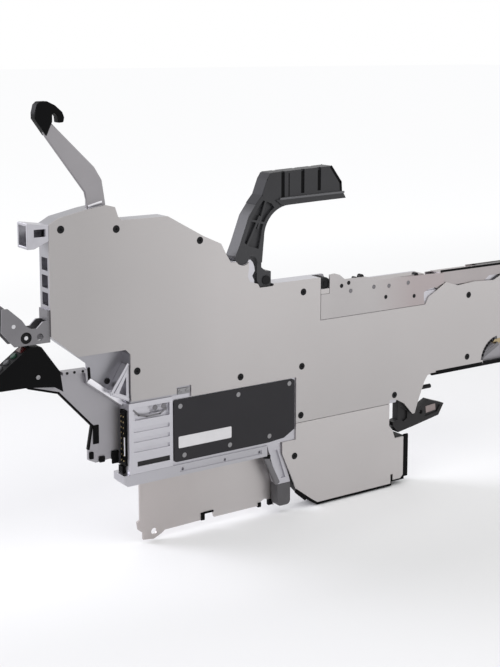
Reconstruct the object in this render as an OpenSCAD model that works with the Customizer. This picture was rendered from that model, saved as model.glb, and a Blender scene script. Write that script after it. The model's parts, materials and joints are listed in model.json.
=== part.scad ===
// Tape feeder for a surface-mount pick-and-place machine.
// X runs along the feed to the pick-up end, Y across the slot, Z up.
// Drawing datum: X from the rear, Y from the middle of the slot, Z from the drive module's plate.
// The finished part is moved so that the front locating pin's root is the origin.

/* [Slot and sheet] */
// Width of one feeder slot in the machine, over both sides
slot_w = 17; // [16:0.5:22]
// Thickness of the near side plates
plate_t = 1.5; // [1:0.1:2]
// Thickness of the frame's far wall
web_t = 3; // [2:0.1:4]
// Gap left between neighbouring side plates
seam = 0.4; // [0.2:0.1:0.8]

/* [Frame] */
// Rear face of the frame from the rear datum
rear_x = 38.5; // [34:0.5:42]
// Front face of the nose from the rear datum
nose_x = 545; // [540:1:580]
// Height of the crest over the rear housing
roof_z = 272; // [268:0.5:280]
// Height of the rear housing's flat roof
shoulder_z = 259.6; // [256:0.2:262]
// Height of the deck in front of the handle
deck_z = 196.5; // [194:0.5:200]
// Height at which the handle rest stands on the frame
rest_z = 190.5; // [188:0.5:192]
// Height of the frame's underside over the control case
belly_z = 117; // [116:0.5:119]
// Height of the joint between the frame and the drive module
seam_z = 74.6; // [73:0.2:76]
// Height of the nose's underside
nose_floor_z = 95.5; // [94:0.5:97]
// Height of the nose's roof, where the tape bed sits
nose_roof_z = 172; // [170:0.5:174]
// Height of the carrier tape's underside
tape_z = 184; // [183:0.5:185]
// Width of the carrier tape's track
tape_w = 8.4; // [8.2:0.1:8.8]
// Height of the tape tunnel through the frame
tunnel_h = 3; // [2:0.5:3.5]

/* [Feed drive] */
// Module of every spur gear
gear_m = 0.8; // [0.7:0.05:0.9]
// Teeth of the tape sprocket, one to each 4 mm of tape
sprocket_teeth = 30; // [28:1:32]
// Pitch of the holes in the tape
tape_pitch = 4; // [3.9:0.05:4.1]
// Teeth of the gear on the sprocket
wheel_teeth = 40; // [38:1:41]
// Teeth of the idler gear
idler_teeth = 36; // [34:1:38]
// Teeth of the motor pinion
pinion_teeth = 16; // [15:1:18]
// Face width of the gears
gear_w = 2.6; // [2:0.1:2.8]
// Distance of the sprocket's centre from the nose's front
sprocket_back = 29; // [27:0.5:34]
// Radius of the feed motor
motor_r = 13; // [12:0.2:14]
// Radius of the gear axles
axle_r = 2.5; // [2:0.1:3]
// Radius of the notch in the plate that shows the drive
window_r = 20; // [16:0.5:22]

/* [Cover tape take-up] */
// Teeth of each take-up roller
takeup_teeth = 20; // [18:1:22]
// Radius of the take-up motor
takeup_motor_r = 11; // [9:0.5:12]
// Radius of the peel roller
peel_r = 5; // [4:0.2:5.6]

/* [Handle and clamp] */
// Width of the handle across the slot
handle_w = 14; // [12:0.5:15]
// Tilt of the handle that opens the clamp
handle_tilt = 14; // [8:1:15]
// Length of the crank under the handle's pivot
crank = 28; // [26:0.5:29]
// Length of the latch's arm over its pivot
latch_arm = 30; // [28:0.5:31]
// Width of the clamp link
link_w = 7; // [6:0.5:8]
// Radius of the handle's pivot pin
handle_pin_r = 2.5; // [2:0.1:3]
// Radius of the latch's pivot pin
latch_pin_r = 3; // [2.5:0.1:3.4]
// Radius of the link's two rivets
rivet_r = 1.6; // [1.3:0.1:2]

/* [Control case and panel] */
// Length of the control cover
cover_len = 117.5; // [110:0.5:118]
// Height of the control cover
cover_h = 50.5; // [48:0.5:51]
// Thickness of the base rail
rail_h = 9; // [8:0.5:9]
// Radius of a panel button
button_r = 2.6; // [2:0.1:3]
// Travel of a panel button
button_travel = 0.8; // [0.5:0.1:1.2]
// Spacing of the panel buttons
button_step = 7; // [6.5:0.1:7]

/* [Pins and screws] */
// Radius of the front locating pin
front_pin_r = 3; // [2.5:0.1:4]
// Radius of the upper locating pin
upper_pin_r = 2; // [1.5:0.1:3]
// Length that the locating pins stand out
front_pin_len = 12; // [8:0.5:16]
// Height of the front locating pin
front_pin_z = 108; // [104:0.5:112]
// Height of the upper locating pin over the lower one
pin_spacing = 42; // [38:0.5:46]
// Radius of a countersunk plate screw's head
screw_head_r = 2.9; // [2.4:0.1:3.2]
// Length of a plate screw
screw_len = 4.8; // [4:0.1:4.8]
// Radius of a plate screw's shank
screw_r = 1.5; // [1.2:0.1:1.7]
// Radius of a small screw in the peel cheek
cheek_screw_r = 1.8; // [1.4:0.1:2]
// Radius of a control cover screw's shank
cover_screw_r = 1; // [0.8:0.1:1.2]
// Radius of an entry roller
entry_r = 4.5; // [4:0.1:5]

/* [Fits] */
// Radial clearance of a turning piece on its pin
run_fit = 0.05; // [0.02:0.01:0.08]
// Radial clearance of a fixed pin or screw in its hole
seat_fit = 0.03; // [0.02:0.01:0.06]
// Gap between pieces that pass each other
pass = 0.4; // [0.3:0.05:0.5]

/* [Hidden] */
$fn = 48;
// Planes across the slot
near_y = -slot_w / 2;
far_y = slot_w / 2;
skin_y = near_y + plate_t;
web_y = far_y - web_t;
gear_y0 = skin_y + 1.6;
gear_y1 = gear_y0 + gear_w;
tape_y1 = web_y - 0.5;
tape_y0 = tape_y1 - tape_w;
link_y0 = skin_y + 0.2;
link_t = 1.2;
link_y1 = link_y0 + link_t;
crank_y0 = link_y1 + 0.2;
crank_y1 = crank_y0 + link_t;

// Rear end of the nose and of the deck
nose_back = 404;
step_x = 286;
// Front end of the drive module at the joint
module_x = 364;

// Feed drive positions, as X and Z
function polar(r, a) = [r * cos(a), r * sin(a)];
sprocket_r = sprocket_teeth * tape_pitch / (2 * PI) - 0.3;
sprocket_tip = 1.4;
sprocket_pos = [nose_x - sprocket_back, tape_z - sprocket_r];
sprocket_y0 = gear_y1 + 0.6;
sprocket_y1 = sprocket_y0 + 1.5;
wheel_to_idler = -105;
idler_to_pinion = -115;
wheel_pitch_r = gear_m * wheel_teeth / 2;
idler_pitch_r = gear_m * idler_teeth / 2;
pinion_pitch_r = gear_m * pinion_teeth / 2;
idler_pos = sprocket_pos + polar(wheel_pitch_r + idler_pitch_r, wheel_to_idler);
motor_pos = idler_pos + polar(idler_pitch_r + pinion_pitch_r, idler_to_pinion);
addendum = 0.8 * gear_m;
dedendum = 1.05 * gear_m;
backlash = 0.16;
motor_y0 = gear_y1 + 0.6;
motor_shaft_r = 1.5;
hub_r = 6;

// Take-up positions
takeup_pitch_r = gear_m * takeup_teeth / 2;
takeup_pos = [rear_x + 81.5, shoulder_z - 34];
pinch_pos = takeup_pos + [2 * takeup_pitch_r, 0];
takeup_y1 = -1;
takeup_motor_y0 = takeup_y1 + 0.6;
peel_pos = [step_x + 6, deck_z - 5.5];
takeup_axle_r = 1.8;

// Handle, link and latch: the link is the cross tangent of the crank and arm circles
handle_pos = [231.5, 200];
latch_pos = [384, 84];
span = latch_pos - handle_pos;
link_a = atan2(span[1], span[0]) + asin((crank + latch_arm) / norm(span));
link_n = [-sin(link_a), cos(link_a)];
crank_end = handle_pos - crank * link_n;
arm_end = latch_pos + latch_arm * link_n;
link_len = norm(arm_end - crank_end);
link_travel = crank * sin(handle_tilt);
hub_y0 = -6;
hub_y1 = web_y - pass;
boss_pos = [207.8, 221.4];
boss_r = 6.5;
latch_y1 = 2;
stop_z = 79;
stop_root = 388;
stop_r = 2;
stop_y = 5.4;

// Cover, case and rail
case_x0 = 141;
cover_x0 = case_x0 + 1;
cover_x1 = cover_x0 + cover_len;
cover_z1 = belly_z - 3.5;
cover_z0 = cover_z1 - cover_h;
case_x1 = cover_x1 + 1.5;
case_z0 = cover_z0 - 2.5;
rail_z0 = case_z0 - rail_h;
housing_x0 = 102;
strut_x = case_x1 - 28.5;
foot_z = 4.4;
board_y0 = 0;
board_y1 = 1.6;

// Panel face that carries the buttons
face_low = [-3, 155];
face_high = [22, 173];
face_a = atan2(face_high[1] - face_low[1], face_high[0] - face_low[0]);
button_h = 4.4;
button_proud = 1.4;
button_sink = button_h - button_proud + button_travel + 0.3;
button_s = [for (i = [0:2]) 4.5 + i * button_step];
panel_y0 = near_y + 0.5;
panel_y = (panel_y0 + web_y) / 2;
lens_s = 25.6;
lens_l = 5;
lens_w = 9;
lens_t = 1.2;

// Entry rollers
entry_low = [19.5, tape_z - entry_r];
entry_high = [10, tape_z + entry_r + 0.6];
entry_cheek = 1.5;
entry_y = slot_w / 2 - 1.5;
entry_axle_r = 1.5;

// Tape guide on the nose
bed_y = 5.4;
cover_y = 6.8;
cover_t = 1.5;
cover_rear = 416;
cover_pivot = [420, nose_roof_z + 6];
hinge_r = 1.5;
window_x = sprocket_pos[0] + 4;
drive_window = [motor_pos[0] - 2, nose_floor_z + 1.5];

// Plate screws, as X and Z
upper_screws = [
    [48, shoulder_z - 2.9], [93.5, shoulder_z - 6.2], [167, 238.5], [268, deck_z - 10.1],
    [457, 162.8], [457, 104.6], [case_x1 + 5, seam_z + 6.3], [369.5, seam_z + 7.4],
    [205, belly_z + 6.2], [109.7, belly_z + 25.1], [case_x1 + 5.8, belly_z + 6.1]
];
lower_screws = [[case_x1 - 1.3, seam_z - 28.2]];
cover_screw_pos = [
    [cover_x0 + 6, cover_z1 - 5.5], [cover_x0 + 61, cover_z1 - 4.7], [cover_x1 - 5.4, cover_z1 - 3.3],
    [cover_x0 + 9.5, cover_z0 + 4.6], [cover_x0 + 52.7, cover_z0 + 5], [cover_x1 - 25.6, cover_z0 + 5.4]
];
cheek_screw_pos = [[308.3, 187.2], [316, 189], [357.6, 172.1], [390.4, 169.3]];
cheek_dimples = [[318.2, 181.8], [343.9, 182.5], [361, 181.6], [383.2, 182]];

// Shared shapes

// Moves the drawing datum to the front locating pin's root
module placed() {
    translate([-nose_x, 0, -front_pin_z]) children();
}

// Extrudes an X-Z outline from y0 to y1
module slab(y0, y1) {
    translate([0, y1, 0]) rotate([90, 0, 0]) linear_extrude(y1 - y0) children();
}

// Round bar along Y at an X-Z point
module bar(p, r, y0, y1) {
    translate([p[0], y1, p[1]]) rotate([90, 0, 0]) cylinder(r = r, h = y1 - y0);
}

// Box between two corners
module box(low, high) {
    translate(low) cube(high - low);
}

// Points of an arc around c
function arc(c, r, a0, a1, n) = [for (i = [0:n]) c + polar(r, a0 + (a1 - a0) * i / n)];

// Countersunk screw with its head flush at y
module countersunk(p, y, grow, length) {
    translate([p[0], y, p[1]]) rotate([-90, 0, 0]) {
        cylinder(r1 = screw_head_r + grow, r2 = screw_r + grow, h = plate_t);
        cylinder(r = screw_r + grow, h = length);
    }
}

// Hexagon socket in a screw's head
module socket(p, y) {
    translate([p[0], y, p[1]]) rotate([-90, 0, 0]) cylinder(r = 1.1, h = 0.8, $fn = 6);
}

// Involute of a base circle at the roll angle t, in degrees
function involute(rb, t) = rb * [cos(t) + t * PI / 180 * sin(t), sin(t) - t * PI / 180 * cos(t)];
function roll(rb, r) = r <= rb ? 0 : sqrt(pow(r / rb, 2) - 1) * 180 / PI;
function turned(p, a) = [p[0] * cos(a) - p[1] * sin(a), p[0] * sin(a) + p[1] * cos(a)];

// Half tooth flank from root to tip, for a tooth centred on the X axis
function flank(teeth, steps = 3) =
    let (
        r = gear_m * teeth / 2,
        rb = r * cos(20),
        ra = r + addendum,
        rf = r - dedendum,
        at_pitch = roll(rb, r) - atan(roll(rb, r) * PI / 180),
        half = 90 / teeth - backlash / 2 / r * 90 / PI,
        t1 = roll(rb, ra)
    )
    concat(
        [polar(min(rf, rb), -(half + at_pitch))],
        [for (i = [0:steps]) turned(involute(rb, t1 * i / steps), -(half + at_pitch))]
    );
function upper_flank(low) = [for (i = [len(low) - 1:-1:0]) [low[i][0], -low[i][1]]];

// Spur gear outline with a tooth centred on the angle a
module gear_outline(teeth, a) {
    low = flank(teeth);
    tooth = concat(low, upper_flank(low));
    polygon([for (k = [0:teeth - 1]) for (p = tooth) turned(p, a + k * 360 / teeth)]);
}

// Tooth phase of a gear driven by another that lies at the angle a from it
function mesh(a, driver_teeth, driver_phase, teeth) =
    a + 180 + (a - driver_phase) * driver_teeth / teeth - 180 / teeth;
idler_phase = mesh(wheel_to_idler, wheel_teeth, 0, idler_teeth);
pinion_phase = mesh(idler_to_pinion, idler_teeth, idler_phase, pinion_teeth);
pinch_phase = mesh(0, takeup_teeth, 0, takeup_teeth);

// Outlines of the housing

// X at a share of the nose's length
function along(share) = nose_back + share * (nose_x - nose_back);

// Top edge from the deck to the rear, with the points under the handle given
function roofline(under_handle) = concat(
    [[step_x, deck_z], [238, deck_z]],
    under_handle,
    [[191.6, rest_z + 34.6], [186.8, 234.1], [170.4, 241.6], [138.4, shoulder_z], [98.3, shoulder_z]],
    [[95.3, shoulder_z + 3], [92.8, roof_z - 2], [84.8, roof_z], [69, roof_z - 2.3]],
    [[46.4, shoulder_z + 5.4], [rear_x, shoulder_z + 1]]
);

function nose_edge() = [
    [nose_back + 4.4, nose_floor_z - 1.3], [nose_back + 9, nose_floor_z],
    [nose_x - 4, nose_floor_z], [nose_x, nose_floor_z + 4]
];

module frame_outline() {
    polygon(concat(
        [[104, belly_z], [case_x1, belly_z], [case_x1, seam_z], [nose_back - 7, seam_z]],
        [[nose_back - 5, seam_z + 4], [nose_back + 2, nose_floor_z - 4.5], [nose_back + 5, nose_floor_z]],
        [[nose_x - 4, nose_floor_z], [nose_x, nose_floor_z + 4]],
        [[nose_x, nose_roof_z], [nose_back, nose_roof_z], [nose_back, tape_z], [step_x, tape_z]],
        roofline([[238, rest_z], [201, rest_z], [196.5, rest_z + 21.5]]),
        [[rear_x, 178], [74, 150], [75, 138]]
    ));
}

module upper_outline() {
    polygon(concat(
        [[104, belly_z + 7], [158, belly_z + 7], [158, belly_z - 2.5], [case_x1, belly_z - 2.5]],
        [[case_x1, seam_z + seam / 2], [module_x, seam_z + seam / 2], [module_x, seam_z + 3.4]],
        // Tongue beside the latch
        [[module_x + 4.6, seam_z + 3.4], [372.7, seam_z + 2.3], [380.9, seam_z - 2.2]],
        [[389.2, seam_z - 11.4]],
        [[391.6, seam_z - 13.6], [393.9, seam_z - 13.1], [397.5, seam_z - 2.6], [nose_back + 0.8, 89.2]],
        nose_edge(),
        [[nose_x, nose_roof_z], [nose_x - 4, nose_roof_z + 6.4], [along(0.68), nose_roof_z + 6.4]],
        [[along(0.6), 173.3], [along(0.43), 174.7], [along(0.28), 173.2], [along(0.175), 177.7]],
        [[nose_back + 4, 166.4], [nose_back, 160], [step_x, 160]],
        roofline(concat(
            [[237, rest_z + 4.2], [224, rest_z + 4.2], [222.2, rest_z + 7.5], [214.3, rest_z + 10.1]],
            [[212.3, rest_z + 14.4], [213.3, rest_z + 21.5]],
            arc(boss_pos, boss_r + 0.6, -40, -150, 8),
            [[196, rest_z + 27.6]]
        )),
        [[rear_x, 178], [60, 160], [100, 160], [104, 156]]
    ));
}

module lower_outline() {
    polygon([
        [case_x1 - 14, rail_z0 + 9], [case_x1 - 14, rail_z0 - 1], [case_x1 + 0.6, 17.2],
        [case_x1 + 16.3, 5.4], [case_x1 + 23.3, 0.6],
        [366.5, 0.6], [366.5, 9], [369, 9], [369, 3.5], [378, 3.5], [381, 6.5], [381, 42], [371, 42],
        [368, 49.6], [module_x, 54.6],
        [module_x, seam_z - seam / 2], [case_x1, seam_z - seam / 2], [case_x1, rail_z0 + 9]
    ]);
}

module cheek_outline() {
    polygon([
        [step_x + seam, 160 + seam], [step_x + seam, 182], [295.5, 182], [295.5, 198],
        [301, 198.5], [306, 197],
        [312, 192.5], [334, 192.5], [350, 188.5], [nose_back + 22, 186.5], [nose_back + 22, 176.8 + seam],
        [nose_back + 14, 174.8], [nose_back + 2, 173.2], [nose_back - 2, 171.2], [nose_back - 2, 166],
        [nose_back - 0.5 - seam, 160 + seam]
    ]);
}

// Frame and plates

module main_frame() {
    color("gainsboro") difference() {
        union() {
            slab(skin_y, far_y) frame_outline();
            slab(web_y, far_y) polygon([
                [step_x, tape_z - 1], [nose_back, tape_z - 1], [nose_back, tape_z + 4],
                [step_x + 17, tape_z + 4], [step_x + 13, deck_z], [step_x, deck_z]
            ]);
            bar(handle_pos, 8, web_y, far_y);
            box([handle_pos[0] - 8, web_y, rest_z - 1], [handle_pos[0] + 6.5, far_y, handle_pos[1]]);
        }
        rear_cutaway();
        feed_pockets();
        takeup_pockets();
        clamp_pockets();
        lightening_pockets();
        // Tape tunnel from the rear face to the open track
        box([rear_x - 1, tape_y0, tape_z], [step_x + 1, tape_y1, tape_z + tunnel_h]);
        // Slot for the tape arm's foot
        box([72.5, -1.6, shoulder_z + 0.4], [88.9, 1.6, roof_z + 3]);
        // Openings in the rear face
        for (i = [0:2]) box([rear_x - 1, -5, 200.5 + i * 13], [rear_x + 6, 5, 210 + i * 13]);
        for (p = upper_screws) countersunk(p, near_y, seat_fit, screw_len + 0.2);
        for (p = cheek_screw_pos) if (p[1] < tape_z - 1.5)
            bar(p, cheek_screw_r + seat_fit, near_y, skin_y + 4.2);
        bar_x(front_pin_z, front_pin_r - 0.6 + seat_fit, nose_x - 8.2, nose_x + 1);
        bar_x(front_pin_z + pin_spacing, upper_pin_r - 0.4 + seat_fit, nose_x - 7.2, nose_x + 1);
        translate([0, stop_y, 0]) bar_x(stop_z, stop_r + seat_fit, stop_root - 0.2, 412);
        far_recesses();
    }
}

// Round bar along X at a height in the middle of the slot
module bar_x(z, r, x0, x1) {
    translate([x0, 0, z]) rotate([0, 90, 0]) cylinder(r = r, h = x1 - x0);
}

// The near wall is cut away over the rear arm
module rear_cutaway() {
    slab(near_y, web_y) polygon([
        [30, 90], [104, 90], [104, 156], [100, 160], [60, 160], [rear_x, 178], [30, 178]
    ]);
}

module feed_pockets() {
    bar(sprocket_pos, sprocket_r + sprocket_tip + 0.6, near_y, sprocket_y1 + pass);
    bar(idler_pos, idler_pitch_r + addendum + 0.6, near_y, gear_y1 + pass);
    bar(motor_pos, motor_r + pass, near_y, web_y);
    for (p = [sprocket_pos, idler_pos]) bar(p, axle_r + seat_fit, near_y, far_y + 1);
    bar(drive_window, window_r - 1.5, near_y, gear_y1 + pass);
}

module takeup_pockets() {
    for (p = [takeup_pos, pinch_pos]) bar(p, takeup_pitch_r + addendum + 0.6, near_y, takeup_y1 + pass);
    bar(takeup_pos, takeup_motor_r + pass, near_y, web_y);
    for (p = [pinch_pos, peel_pos]) bar(p, takeup_axle_r + seat_fit, near_y, far_y + 1);
    box([rear_x - 1, -0.4, shoulder_z - 12.6], [pinch_pos[0], web_y, shoulder_z - 2.6]);
    box([takeup_pos[0], skin_y + 1, takeup_pos[1] + 5], [pinch_pos[0], web_y, shoulder_z - 2.6]);
}

module clamp_pockets() {
    // Crank under the handle
    box([207, near_y, 165], [237.5, crank_y1 + 0.2, rest_z + 1]);
    // Link
    translate([crank_end[0], 0, crank_end[1]]) rotate([0, -link_a, 0])
        box(
            [-link_travel - 8, near_y, -link_w / 2 - 2.5],
            [link_len + 8, link_y1 + 0.15, link_w / 2 + 2.5]
        );
    // Latch arm and hook
    box([376, near_y, 78], [403, crank_y1 + 0.2, 123]);
    slab(near_y, latch_y1 + pass) polygon([[370.5, 70], [410, 70], [410, 92.5], [374, 92.5], [374, 79]]);
    bar(handle_pos, handle_pin_r + seat_fit, near_y, far_y + 1);
    bar(latch_pos, latch_pin_r + seat_fit, near_y, far_y + 1);
}

module lightening_pockets() {
    pockets = [
        [52, 196, 104, 238], [148, 132, 190, 178], [150, 194, 186, 226], [210, 126, 254, 152],
        [282, 86, 330, 124], [418, 112, 462, 155]
    ];
    for (b = pockets) box([b[0], near_y, b[1]], [b[2], web_y, b[3]]);
}

// Shallow milled recesses that leave a border on the far side
module far_recesses() {
    depth = 0.8;
    r = 5;
    recesses = [
        [50, 190, 140, 246], [116, 128, 178, 178], [190, 128, 276, 178], [290, 88, 372, 152],
        [416, 106, 534, 158]
    ];
    for (b = recesses) slab(far_y - depth, far_y + 1) polygon(concat(
        arc([b[0] + r, b[1] + r], r, 180, 270, 5),
        arc([b[2] - r, b[1] + r], r, 270, 360, 5),
        arc([b[2] - r, b[3] - r], r, 0, 90, 5),
        arc([b[0] + r, b[3] - r], r, 90, 180, 5)
    ));
}

module upper_side_plate() {
    color("silver") difference() {
        slab(near_y, skin_y) upper_outline();
        for (p = upper_screws) countersunk(p, near_y, seat_fit, screw_len);
        bar(drive_window, window_r, near_y - 1, skin_y + 1);
    }
}

module lower_side_plate() {
    color("silver") difference() {
        slab(near_y, skin_y) lower_outline();
        for (p = lower_screws) countersunk(p, near_y, seat_fit, screw_len);
    }
}

module peel_cheek() {
    color("lightgray") difference() {
        slab(near_y, skin_y) cheek_outline();
        for (p = cheek_screw_pos) bar(p, cheek_screw_r + seat_fit, near_y - 1, skin_y + 1);
        for (p = cheek_dimples) bar(p, 1.9, near_y - 1, near_y + 0.6);
    }
}

module side_plate_screws() {
    color("dimgray") for (p = concat(upper_screws, lower_screws)) difference() {
        countersunk(p, near_y, 0, screw_len);
        socket(p, near_y - 0.01);
    }
}

module cheek_screws() {
    color("dimgray") for (p = cheek_screw_pos) {
        bar(p, cheek_screw_r, near_y, p[1] < tape_z - 1.5 ? skin_y + 4 : skin_y);
    }
}

// Drive module

module module_body() {
    color([0.12, 0.12, 0.13]) difference() {
        slab(skin_y, far_y) polygon([
            [case_x1 + 0.5, seam_z], [case_x1 + 0.5, rail_z0 + 8.5], [case_x1 - 7.5, rail_z0 + 8.5],
            [case_x1 - 7.5, rail_z0 - 1.5], [case_x1 - 2, 22], [case_x1 + 15, 3.5], [case_x1 + 24, -2],
            [369, -2], [369, 1.5], [383.5, 1.5], [383.5, 42], [373, 42], [368, 50],
            [module_x, 55], [module_x, seam_z]
        ]);
        for (x = [[case_x1 + 7, 312], [318, 356]]) box([x[0], near_y, 16], [x[1], web_y, 68]);
        for (p = lower_screws) countersunk(p, near_y, seat_fit, screw_len + 0.2);
    }
}

module driver_board() {
    color("darkgreen") box([case_x1 + 9, web_y - 1.6, 20], [310, web_y, 64]);
    color("black") for (z = [26, 44]) box([case_x1 + 17, web_y - 4, z], [300, web_y - 1.6, z + 12]);
}

// Control case, connector and base

module control_case() {
    color("gainsboro") {
        difference() {
            box([case_x0, skin_y, case_z0], [case_x1, far_y, belly_z]);
            box([case_x0 + 6, near_y, case_z0 + 9], [case_x1 - 6, web_y - 0.5, belly_z - 9]);
            for (p = cover_screw_pos) bar(p, cover_screw_r + seat_fit, near_y, skin_y + 4.2);
        }
        for (x = [case_x0 + 14, case_x1 - 14]) for (z = [case_z0 + 14, belly_z - 14])
            bar([x, z], 2.5, board_y1, web_y);
    }
}

module control_cover() {
    r = 2.5;
    color([0.2, 0.2, 0.21]) difference() {
        slab(near_y, skin_y) polygon(concat(
            arc([cover_x0 + r, cover_z0 + r], r, 180, 270, 6),
            [[cover_x1 - 27, cover_z0], [cover_x1 - 11, cover_z0 + 1.4], [cover_x1, cover_z0 + 7.5]],
            arc([cover_x1 - r, cover_z1 - r], r, 0, 90, 6),
            arc([cover_x0 + r, cover_z1 - r], r, 90, 180, 6)
        ));
        for (p = cover_screw_pos) bar(p, cover_screw_r + seat_fit, near_y - 1, skin_y + 1);
        for (p = cover_screw_pos) bar(p, 2 * cover_screw_r + seat_fit, near_y - 1, near_y + 1);
    }
}

module cover_screws() {
    color("lightgray") for (p = cover_screw_pos) {
        bar(p, 2 * cover_screw_r, near_y + 0.2, near_y + 1);
        bar(p, cover_screw_r, near_y + 0.2, skin_y + 4);
    }
}

module control_board() {
    color("darkgreen") box([case_x0 + 8, board_y0, case_z0 + 11], [case_x1 - 8, board_y1, belly_z - 11]);
    color("black") {
        for (x = [164, 200]) box([x, board_y0 - 2.4, 78], [x + 18, board_y0, 96]);
        box([154, board_y0 - 5, 76], [159, board_y0, 100]);
        for (x = [case_x1 - 33, case_x1 - 21]) bar([x, 88], 4, board_y0 - 5, board_y0);
    }
}

module connector_housing() {
    color("gainsboro") difference() {
        box([housing_x0, near_y, case_z0], [case_x0, web_y, belly_z]);
        // Recess with a deeper right half, ribs and the lower slot
        box([housing_x0 + 5, near_y - 1, belly_z - 14], [case_x0 - 3, near_y + 3, belly_z - 4]);
        box([housing_x0 + 20, near_y - 1, belly_z - 11], [case_x0 - 4, near_y + 6, belly_z - 5]);
        for (i = [0:2]) translate([0, 0, i * 8])
            box([housing_x0 + 4, near_y - 1, case_z0 + 17], [case_x0 - 3, near_y + 1.6, case_z0 + 20]);
        box([housing_x0 + 7, near_y - 1, case_z0 + 5.5], [case_x0 - 3, near_y + 6, case_z0 + 9.5]);
        // Seat of the rear connector
        box([housing_x0 - 1, -4.5, case_z0 + 6], [housing_x0 + 8, 3.5, belly_z - 6]);
    }
}

module rear_connector() {
    color([0.1, 0.1, 0.1]) difference() {
        box([housing_x0 - 1.5, -4.3, case_z0 + 6.2], [housing_x0 + 8, 3.3, belly_z - 6.2]);
        for (i = [0:8]) for (y = [-2.8, 0.8]) translate([0, 0, case_z0 + 9 + i * 4.4])
            box([housing_x0 - 2, y, 0], [housing_x0 + 2, y + 1.4, 2.4]);
    }
}

module base_rail() {
    color("whitesmoke") difference() {
        slab(near_y, far_y) polygon([
            [housing_x0 - 5, case_z0], [housing_x0 - 5, rail_z0 + 3], [housing_x0 - 2, rail_z0],
            [strut_x - 1, rail_z0],
            [strut_x - 1, case_z0]
        ]);
        box([case_x0 + 6, near_y - 1, rail_z0 + 3], [strut_x - 6.5, near_y + 1, case_z0 - 2.5]);
        for (x = [150, 190, strut_x - 8.5]) bar([x, rail_z0 + 4.7], 1.2, near_y, near_y + 3);
    }
}

module lower_guide_plate() {
    color("silver") difference() {
        slab(4, 6) polygon([
            [117.3, rail_z0], [117.3, 16.6], [114.7, 15.6], [115.6, 9.1], [120, 5.7], [120, 0],
            [129.7, -1.3], [137, 1.8], [140, 4], [174.6, 4.6], [176.5, 10], [185.4, 9.6], [187, 4.5],
            [strut_x - 1.4, 4.6], [strut_x + 1.6, 8], [strut_x + 5, 9.6], [strut_x + 8.7, 8.4],
            [strut_x + 11.8, 4.6], [strut_x + 14.5, 2],
            [strut_x + 14.5, case_z0], [strut_x - 1, case_z0], [strut_x - 1, rail_z0]
        ]);
        bar([130, 5], 2.6, 3, 7);
    }
}

module support_strut() {
    color("lightsteelblue") difference() {
        slab(-6.5, 3) polygon([
            [strut_x, case_z0], [strut_x + 14, case_z0], [strut_x + 24.5, 24], [strut_x + 11, 24]
        ]);
        slab(-7, -4.5) polygon([
            [strut_x + 5.5, case_z0 - 6], [strut_x + 10.5, case_z0 - 6], [strut_x + 19, 29],
            [strut_x + 15, 29]
        ]);
    }
}

module strut_foot() {
    r = 4;
    color([0.3, 0.3, 0.31]) slab(-6.5, 3) polygon(concat(
        [[strut_x + 24.5, 24], [strut_x + 11, 24]],
        arc([strut_x + 11 + r, foot_z + r], r, 180, 270, 6),
        arc([strut_x + 24.5 - r, foot_z + r], r, 270, 360, 6)
    ));
}

module rear_arm() {
    color("silver") difference() {
        union() {
            slab(web_y, far_y) polygon([
                [20, 144], [24, 148], [73, 147], [74, 137], [103.5, 114.5], [139, 114.5], [139, 68],
                [101, 66], [92.5, 72],
                [80, 71], [74, 74], [74, 82], [77.5, 101], [50, 131], [24, 139]
            ]);
            slab(web_y - 4, web_y) polygon([
                [52, 147.4], [73, 147], [74, 137], [101.5, 116], [101.5, 113], [71.5, 135.7], [70.5, 144.6],
                [52, 145]
            ]);
        }
        box([78, web_y - 1, 80], [83, far_y + 1, 96]);
    }
}

module gusset() {
    color("gainsboro") difference() {
        slab(-6.5, web_y) polygon([[90, 125.5], [103.7, 119], [103.7, 147]]);
        slab(-7, 1.5) polygon([[95, 126.5], [101, 123.5], [101, 138]]);
    }
}

// Operation panel and tape entry

// Places a piece on the panel's sloping face, at s along it
module on_face(s) {
    translate([face_low[0], 0, face_low[1]]) rotate([0, -face_a, 0]) translate([s, 0, 0]) children();
}

module panel_housing() {
    color([0.1, 0.1, 0.11]) difference() {
        slab(panel_y0, web_y) polygon([
            [-3, 143], face_low, face_high, [31, 171.5], [45.4, 151], [47.5, 135.5], [40.6, 140],
            [18.8, 142.7]
        ]);
        for (s = button_s) on_face(s)
            translate([0, panel_y, -button_sink]) cylinder(r = button_r + 0.3, h = 20);
        lens_block(0, 5);
    }
}

// Block of the lens's outline, shrunk by a gap, up to a height over the face
module lens_block(gap, top) {
    l = lens_l / 2 - gap;
    w = lens_w / 2 - gap;
    on_face(lens_s) box([-l, panel_y - w, -lens_t], [l, panel_y + w, top]);
}

module panel_lens() {
    color("firebrick") lens_block(0.05, 0.3);
}

module panel_button(s) {
    on_face(s) translate([0, panel_y, button_proud - button_h]) {
        cylinder(r = button_r, h = button_h - 0.5);
        translate([0, 0, button_h - 0.5]) cylinder(r1 = button_r, r2 = button_r - 0.5, h = 0.5);
    }
}

module feed_button() {
    color("seagreen") panel_button(button_s[2]);
}

module back_button() {
    color("gray") panel_button(button_s[1]);
}

module mode_button() {
    color("gray") panel_button(button_s[0]);
}

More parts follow.
